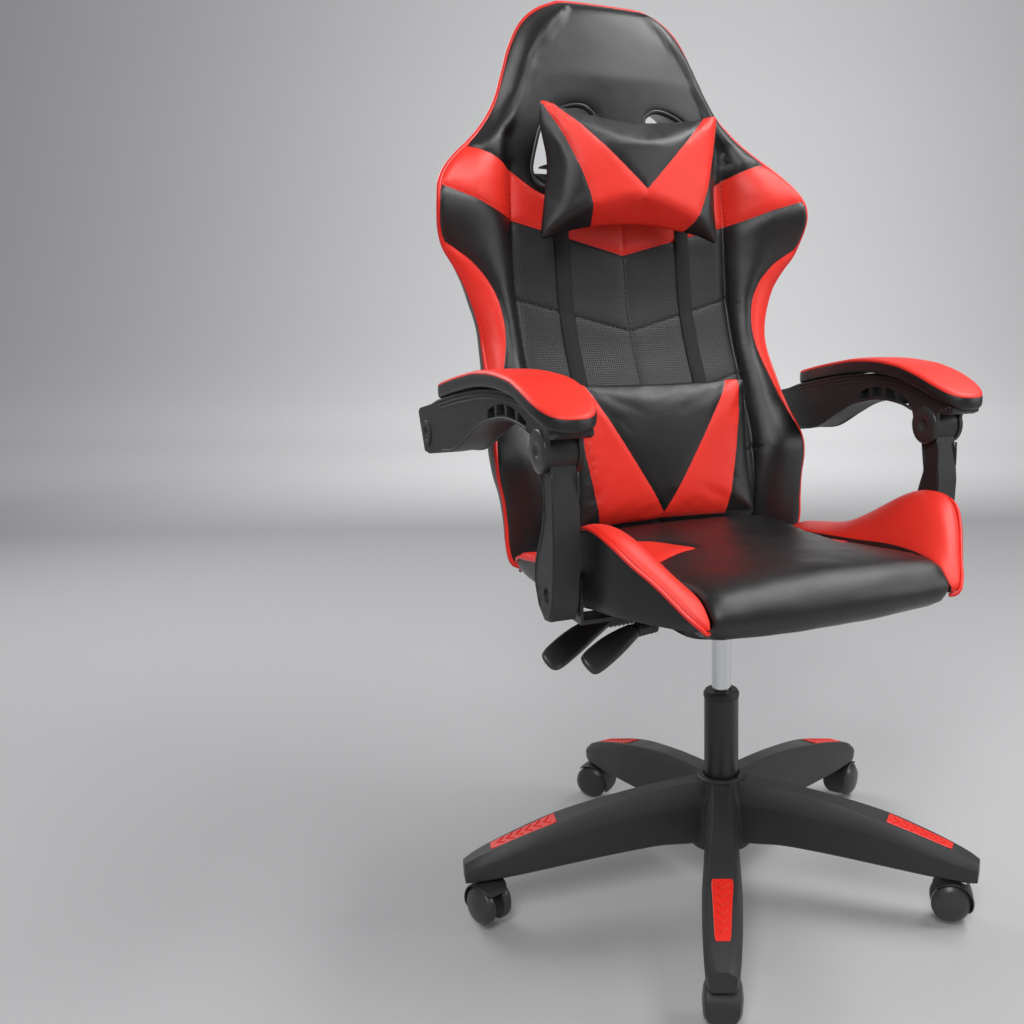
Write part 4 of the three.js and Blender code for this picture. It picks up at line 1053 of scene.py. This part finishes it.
def make_knuckle_discs(side):
    name = side_name(side)
    for face in (-1, 1):
        x0 = side * ARM_X + face * 22.8
        profile = [(0.01, 1.0), (6, 1.0), (7.5, 2.6), (9.5, 3.4), (23.5, 2.6), (26.2, 1.2), (26.6, -1.5),
                   (0.01, -1.5)]
        lathe(f"knuckle_disc_{name}_{'io'[face > 0]}", profile, SMOOTH_PLASTIC, f"arm_{name}",
              (x0, *KNUCKLE), (face, 0, 0), 36)


def make_lower_ribs(side):
    name = side_name(side)
    body = f"arm_{name}"
    lower = [(-84, 692.5), (-60, 698.5), (-20, 701.5), (20, 698.5), (68, 688.5), (113, 670.5), (177, 642.5),
             (232, 634)]
    for face in (-1, 1):
        line = smooth_line([(side * (ARM_X + toe(y)) + face * 22.6, y, z + 3) for y, z in lower], 8)
        sweep(f"arm_lower_rib_{name}_{'io'[face > 0]}", line, ring_section(2.2, 8), PLASTIC, body,
              up=(0, 0, 1))


def make_rear_boss(side):
    """Collar round the bolt's recess at the armrest's rear end."""
    name = side_name(side)
    x0 = side * (ARM_X + 23 + toe(ARM_REAR[0]))
    profile = [(9.5, -9), (9.5, 0.4), (10.4, 1.4), (18.4, 1.4), (19.4, 0.4), (19.4, -1.5), (17, -2.2),
               (17, -9)]
    lathe(f"arm_boss_{name}", profile, PLASTIC, f"arm_{name}", (x0, *ARM_REAR), (side, 0, 0), 32)


def make_post_trim(side):
    """Ridges that follow the front and rear edges of the post."""
    name = side_name(side)
    outline = [(-137, 652), (-137, 600), (-134, 545), (-126, 497), (-116, 476), (-99, 473)]
    rear = [(-103, 650), (-110, 610), (-98, 573), (-77, 540), (-71, 512), (-82, 485)]
    for face in (-1, 1):
        for tag, points in (("front", outline), ("rear", rear)):
            line = smooth_line([(side * ARM_X + face * 15.9, y, z) for y, z in points], 8)
            sweep(f"post_ridge_{name}_{tag}_{'io'[face > 0]}", line, ring_section(1.5, 8), PLASTIC,
                  f"post_{name}", up=(0, 0, 1))


# ---------------------------------------------------------------- base and casters
LEG_TOP = [(20, 166), (60, 163), (100, 160), (170, 150), (244, 134), (300, 117.5), (339, 104), (362, 94.5),
           (374, 88)]
LEG_BOTTOM = [(20, 70), (60, 73), (100, 76), (170, 74), (244, 70), (300, 65.5), (339, 63), (362, 61.5),
              (376, 61)]
LEG_HALF = [(20, 24, 15), (60, 24, 13.5), (100, 23, 13), (170, 24, 15), (244, 26, 19), (300, 25, 16.5),
            (339, 23, 14), (362, 21, 12), (375, 17, 9)]


def make_base():
    parts = []
    for k, angle in enumerate(LEG_ANGLES):
        rings = []
        for r in np.concatenate([[14], np.linspace(30, 350, 22), [362, 370, 374.5]]):
            top = pchip(*np.array(LEG_TOP).T, r)
            low = pchip(*np.array(LEG_BOTTOM).T, r)
            belly = pchip(np.array(LEG_HALF)[:, 0], np.array(LEG_HALF)[:, 1], r)
            ridge = pchip(np.array(LEG_HALF)[:, 0], np.array(LEG_HALF)[:, 2], r)
            flat_top = top - 0.4
            waist = top - 0.36 * (top - low)
            ring = [(ridge - 1.5, flat_top), (ridge, flat_top - 1.6), (belly - 1.4, waist + 3),
                    (belly, waist - 2), (belly - 1.2, low + 3), (belly - 4, low), (4 - belly, low),
                    (1.2 - belly, low + 3), (-belly, waist - 2), (1.4 - belly, waist + 3),
                    (-ridge, flat_top - 1.6), (1.5 - ridge, flat_top)]
            c, s = math.cos(angle), math.sin(angle)
            rings.append([(r * c - u * s, r * s + u * c, z) for u, z in ring])
        parts.append(loft(f"leg_{k}", rings, PLASTIC, "base"))
    hub = lathe("star_base_shell", [(0.01, 63), (45, 63), (47.5, 66), (48, 80), (44, 128), (41, 142),
                                    (36.5, 151), (36, 166), (34, 168), (27, 168), (26.4, 160), (0.01, 160)],
                PLASTIC, "base", steps=48)
    base = union([hub] + parts)
    base.data.set_sharp_from_angle(angle=math.radians(38))
    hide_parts("star_base")


def make_trims():
    """Red insert in each leg with a stack of raised arrows."""
    for k, angle in enumerate(LEG_ANGLES):
        c, s = math.cos(angle), math.sin(angle)
        slope = (104 - 134) / (339 - 244)

        def at(r, u, lift):
            z = 134 + slope * (r - 244) + lift
            return (r * c - u * s, r * s + u * c, z)

        def half(r):
            return np.interp(r, [246, 338], [14.3, 9.6])

        rings = []
        for r in np.linspace(246.5, 337.5, 14):
            h = half(r) - (1.2 if r in (246.5, 337.5) else 0)
            rings.append([at(r, u, v) for u, v in ((h, -2.5), (h, 0.6), (h - 1.2, 1.3), (1.2 - h, 1.3),
                                                   (-h, 0.6), (-h, -2.5))])
        plate = loft(f"trim_plate_{k + 1}", rings, RED_PLASTIC, "base")
        bevel(plate, 0.4, 2, 40, weld=False)
        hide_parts(f"foot_trim_{k + 1}")
        for n in range(6):
            r0 = 254 + n * 13
            reach = half(r0) - 3.4
            line = [at(r0, -reach, 1.5), at(r0 + 4, -reach / 2, 1.6), at(r0 + 8.5, 0, 1.7),
                    at(r0 + 4, reach / 2, 1.6), at(r0, reach, 1.5)]
            sweep(f"trim_arrow_{k + 1}_{n + 1}", line, band_section(2.4, 1.5), RED_PLASTIC, "base",
                  up=(0, 0, 1))


HOOD_ARC = (214, 40)  # degrees from the caster's front, over the top
HOOD_MIDDLE, HOOD_REACH = sum(HOOD_ARC) / 2, (HOOD_ARC[0] - HOOD_ARC[1]) / 2
HALF_WEB = 4.6


def make_caster(k):
    angle, heading = LEG_ANGLES[k], CASTER_HEADINGS[k]
    stem = np.array([STEM_ORBIT * math.cos(angle), STEM_ORBIT * math.sin(angle), 0])
    fwd = np.array([math.cos(heading), math.sin(heading), 0])
    axle = np.array([-fwd[1], fwd[0], 0])
    centre = stem + CASTER_TRAIL * fwd + np.array([0, 0, WHEEL_RADIUS])
    for side in SIDES:
        profile = [(0.01, 25.2), (6, 25.0), (9, 24.4), (16, 23.8), (21.5, 22.0), (24.2, 19.8), (25.6, 18.4),
                   (27.1, 17.4), (27.5, 15.5), (27.5, 9), (26.9, 7.6), (24, 6.6), (12, 6.2), (0.01, 6.2)]
        lathe(f"wheel_{k + 1}_{'ab'[side > 0]}", profile, SMOOTH_PLASTIC, f"wheels_{k + 1}",
                            tuple(centre), tuple(side * axle), 40)
    rings = []
    inner, outer = WHEEL_RADIUS + 1.4, WHEEL_RADIUS + 4.2

    def around(count):
        angles = np.linspace(*np.radians(HOOD_ARC), count)
        return [(t, math.cos(t) * fwd + np.array([0, 0, math.sin(t)])) for t in angles]

    for t, out in around(22):
        ends = 1 - 0.45 * abs((math.degrees(t) - HOOD_MIDDLE) / HOOD_REACH) ** 6
        w = 20.5 * ends
        section = [(-w, inner), (-w - 0.6, inner + 1.2), (-w + 1.5, outer), (0, outer + 0.5),
                   (w - 1.5, outer), (w + 0.6, inner + 1.2), (w, inner)]
        rings.append([tuple(centre + u * axle + v * out) for u, v in section])
    hood = loft(f"hood_{k + 1}", rings, PLASTIC, f"caster_{k + 1}")
    bevel(hood, 0.8, 2, 40, weld=False)
    web = []
    for _, out in around(20):
        corners = ((-HALF_WEB, 7), (HALF_WEB, 7), (HALF_WEB, inner + 0.6), (-HALF_WEB, inner + 0.6))
        web.append([tuple(centre + u * axle + v * out) for u, v in corners])
    loft(f"hood_web_{k + 1}", web, PLASTIC, f"caster_{k + 1}")
    lathe(f"hood_stem_{k + 1}", [(0.01, 46), (9.5, 46), (9.5, 58), (8.5, 60), (5.5, 60.4), (5.5, 83.6),
                                 (0.01, 83.6)], ZINC, f"caster_{k + 1}", (stem[0], stem[1], 0), (0, 0, 1), 24)
    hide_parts(f"caster_hood_{k + 1}")
    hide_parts(f"caster_wheels_{k + 1}")


# ---------------------------------------------------------------- levers
LEVERS = {
    "height_lever": ([(4, 1, 415), (-60, -15, 416), (-120, -30, 418), (-152, -38, 418)],
                     [(-150, -37.5, 418), (-160, -40, 416), (-176, -45, 410), (-192, -49.5, 404),
                      (-210, -55, 396), (-226, -60, 389), (-234, -62.5, 386)]),
    "recline_lever": ([(-40, 30, 418), (-70, 28, 418), (-110, 25, 418), (-172, 20, 418)],
                      [(-170, 21, 418), (-182, 14, 417), (-202, 4, 413.5), (-222, -8, 409), (-246, -24, 403),
                       (-268, -38, 396.5), (-281, -45, 393)]),
}


PADDLE_ROLL = math.radians(50)
# Half width and half thickness of a paddle from its sleeve to its tip.
PADDLE_HALVES = [(10, 8.5), (12.5, 8), (15.5, 7.2), (18, 6.4), (18.5, 5.6), (18, 5), (14, 4)]


def make_lever(name):
    path, paddle = LEVERS[name]
    sleeve = smooth_line(path[-2:], 1.1)
    radius = np.array([1 + 0.14 * math.sin(2 * math.pi * i / 6) for i in range(len(sleeve))])
    sweep(f"{name}_sleeve", sleeve, ring_section(9.4, 16), SMOOTH_PLASTIC, name, up=(0, 0, 1),
          scale=radius)
    centre = np.array(paddle, float)
    _, side, up = frames_along(centre, False, (0, 0, 1))
    rings = []
    c, s = math.cos(PADDLE_ROLL), math.sin(PADDLE_ROLL)
    side, up = side * c + up * s, up * c - side * s
    for i in range(len(centre)):
        w, t = PADDLE_HALVES[i]
        section = [(w, 0), (w * 0.86, t * 0.62), (w * 0.5, t), (0, t * 1.12), (-w * 0.5, t),
                   (-w * 0.86, t * 0.62), (-w, 0), (-w * 0.86, -t * 0.62), (-w * 0.5, -t), (0, -t * 1.05),
                   (w * 0.5, -t), (w * 0.86, -t * 0.62)]
        rings.append([tuple(centre[i] + u * side[i] + v * up[i]) for u, v in section])
    grip = loft(f"{name}_paddle", rings, SMOOTH_PLASTIC, name, levels=2)
    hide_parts(f"{name}_handle")
    mid = centre[2:5] + up[2:5] * 5.1
    sweep(f"{name}_grip_line", smooth_line(mid, 3), band_section(5, 1.2), PLASTIC, name,
          up=tuple(up[3]))


# ---------------------------------------------------------------- bolts and rear bracket
LEAN_AXIS = (0, math.cos(PLATE_LEAN), -math.sin(PLATE_LEAN))


def leaning(along, off):
    c, s = math.cos(PLATE_LEAN), math.sin(PLATE_LEAN)
    return (RECLINE_PIVOT[0] + along * s + off * c, RECLINE_PIVOT[1] + along * c - off * s)


def bolt_head(name, origin, axis, radius, body):
    """Domed head over a washer, with a cross recess drawn as painted shade: near-black boxes set into the
    dome.
    """
    r = radius
    dome = [(0.01, -0.4), (r * 1.22, -0.4), (r * 1.22, 0.7), (r, 0.9), (r * 0.96, 1.8), (r * 0.8, 2.9),
            (r * 0.5, 3.6), (r * 0.2, 3.8), (0.01, 3.8)]
    head = lathe(name, dome, ZINC, body, origin, axis, 28)
    a = Vector(axis).normalized()
    u = a.orthogonal().normalized()
    v = a.cross(u)
    for n, (p, q) in enumerate(((u, v), (v, u))):
        w, l = 0.16 * r, 0.55 * r
        pts = []
        for h, k in ((3.95, 1.0), (2.9, 0.6)):
            for sp, sq in ((-1, -1), (1, -1), (1, 1), (-1, 1)):
                pts.append(tuple(Vector(origin) + a * h + p * (sp * l * k) + q * (sq * w)))
        # Painted shade: each bar of the cross recess is a near-black box that stands in for the shade inside
        # the recess.
        make(f"{name}_painted_shade_{n}", pts, [(0, 1, 2, 3), (7, 6, 5, 4), (0, 4, 5, 1), (1, 5, 6, 2), (2, 6, 7, 3),
                                       (3, 7, 4, 0)], RECESS_SHADE, body, smooth=False)
    return head


def make_bolts():
    for i, (x, along) in enumerate(((-SCREW_X, 100), (SCREW_X, 100), (-SCREW_X, 150), (SCREW_X, 150))):
        head = bolt_head(f"plate_screw_{i + 1}", (x, *leaning(along, 22.4)), LEAN_AXIS, 6.3, "back")
        if i % 3 == 0:
            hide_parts(f"back_plate_bolt_{i // 3 + 1}")
    for i, x in enumerate((-SCREW_X, SCREW_X)):
        bolt_head(f"bracket_screw_{i + 1}", (x, *leaning(-4, 25.1)), LEAN_AXIS, 6.3, "back")
    for side in SIDES:
        for i, (along, off) in enumerate(((18, -28), (18, 8), (-12, -22), (-30, 8))):
            bolt_head(f"bracket_side_screw_{side_name(side)}_{i + 1}", (side * 33, *leaning(along, off)),
                      (side, 0, 0), 5.4, "back")
    for along in (14, -22):
        line = [(x, *leaning(along, 25.3)) for x in np.linspace(-15, 15, 9)]
        sweep(f"bracket_bead_{along + 22}", line, band_section(7, 2.2), STEEL, "back",
              up=LEAN_AXIS)


def dress_hard_parts():
    """Finishes and rounded edges for the metal and plastic parts that are shown as they are."""
    look = {"black_plastic": PLASTIC, "black_steel": STEEL, "chrome": CHROME, "zinc_steel": ZINC,
            "red_plastic": RED_PLASTIC, "black_leather": BLACK, "red_leather": RED, "webbing": WEBBING}
    slots = {s["node"]: s["material_slot"] for s in frame["record"]["subparts"]}
    radius = {"arm_beam": 2.2, "arm_post": 3.5, "back_plate": 1.6, "recline_bracket": 1.4,
              "tilt_housing": 1.5, "seat_base": 1.0, "lift_guide_bush": 0.8}
    for name, node in frame["nodes"].items():
        for i in range(max(1, len(node.material_slots))):
            if not node.material_slots:
                node.data.materials.append(look[slots[name]])
            node.material_slots[i].material = look[slots[name]]
        width = next((w for key, w in radius.items() if name.startswith(key)), 0.6)
        bevel(node, width, 3, 32)


# ---------------------------------------------------------------- studio
def area_light(name, at, towards, size, power):
    data = bpy.data.lights.new(name, "AREA")
    data.shape = "RECTANGLE"
    data.size, data.size_y = size
    data.energy = power
    lamp = bpy.data.objects.new(name, data)
    lamp.location = at
    lamp.rotation_euler = (Vector(towards) - Vector(at)).to_track_quat("-Z", "Y").to_euler()
    bpy.context.scene.collection.objects.link(lamp)


def make_studio():
    half = 14.0
    line = smooth_line([(-half, 0), (3.0, 0), (5.5, 0.12), (7.5, 0.9), (8.8, 2.6), (9.4, 5.5), (9.6, 13)],
                       0.3)
    verts = [(x, y, z) for x in (-half, half) for y, z in line]
    n = len(line)
    faces = [(i, i + 1, n + i + 1, n + i) for i in range(n - 1)]
    mesh = bpy.data.meshes.new("studio_floor")
    mesh.from_pydata(verts, [], faces)
    mesh.polygons.foreach_set("use_smooth", [True] * len(mesh.polygons))
    mesh.materials.append(textured("studio_grey", (0.46, 0.46, 0.465), 0.75, 200, 0.02, 0.03, 0.015))
    floor = bpy.data.objects.new("studio_floor", mesh)
    floor.matrix_world = Matrix.Rotation(math.radians(-29), 4, "Z")
    bpy.context.scene.collection.objects.link(floor)
    world = bpy.data.worlds.new("studio")
    bpy.context.scene.world = world
    world.use_nodes = True
    sky = world.node_tree.nodes["Background"]
    sky.inputs["Color"].default_value = (0.80, 0.82, 0.85, 1)
    sky.inputs["Strength"].default_value = 0.34
    area_light("key", (-1.6, -2.4, 3.0), (0, 0, 0.8), (1.0, 1.6), 66)
    area_light("top", (1.5, -0.6, 3.2), (0, 0, 0.6), (2.6, 0.9), 66)
    area_light("fill", (2.6, -1.8, 1.7), (0, 0, 0.7), (0.8, 2.2), 28)
    area_light("rim", (-1.2, 2.6, 2.4), (0, 0, 0.9), (1.6, 1.6), 40)
    area_light("wall", (1.4, 2.8, 3.4), (3.6, 7.6, 2.6), (3.0, 3.0), 330)


LENS = 1.085068359375  # focal length over sensor width
SHIFT = (-0.196904296875, 0.017607421875)


def make_camera():
    data = bpy.data.cameras.new("camera")
    data.sensor_width = 36
    data.sensor_fit = "HORIZONTAL"
    data.lens = LENS * data.sensor_width
    data.shift_x, data.shift_y = SHIFT
    camera = bpy.data.objects.new("camera", data)
    right = Vector((0.8762, -0.4820, 0.0)).normalized()
    ahead = Vector((0.4718, 0.8577, -0.2041)).normalized()
    up = right.cross(ahead).normalized()
    right = ahead.cross(up)
    camera.matrix_world = Matrix((
        (right.x, up.x, -ahead.x, -0.7449), (right.y, up.y, -ahead.y, -1.3811),
        (right.z, up.z, -ahead.z, 0.8492), (0, 0, 0, 1)))
    bpy.context.scene.collection.objects.link(camera)
    bpy.context.scene.camera = camera


make_camera()
make_studio()
bpy.context.scene.view_settings.view_transform = "Standard"
dress_hard_parts()
make_back_front()
make_back_rear()
make_back_piping()
make_back_stitches()
make_bezels()
make_straps()
make_headrest()
make_lumbar()
make_seat_cushion()
for SIDE in SIDES:
    make_wing(SIDE)
    make_arm_pad(SIDE)
    make_arm_ribs(SIDE)
    make_knuckle_discs(SIDE)
    make_lower_ribs(SIDE)
    make_post_trim(SIDE)
    make_rear_boss(SIDE)
make_base()
make_trims()
for K in range(5):
    make_caster(K)
for LEVER in LEVERS:
    make_lever(LEVER)
make_bolts()
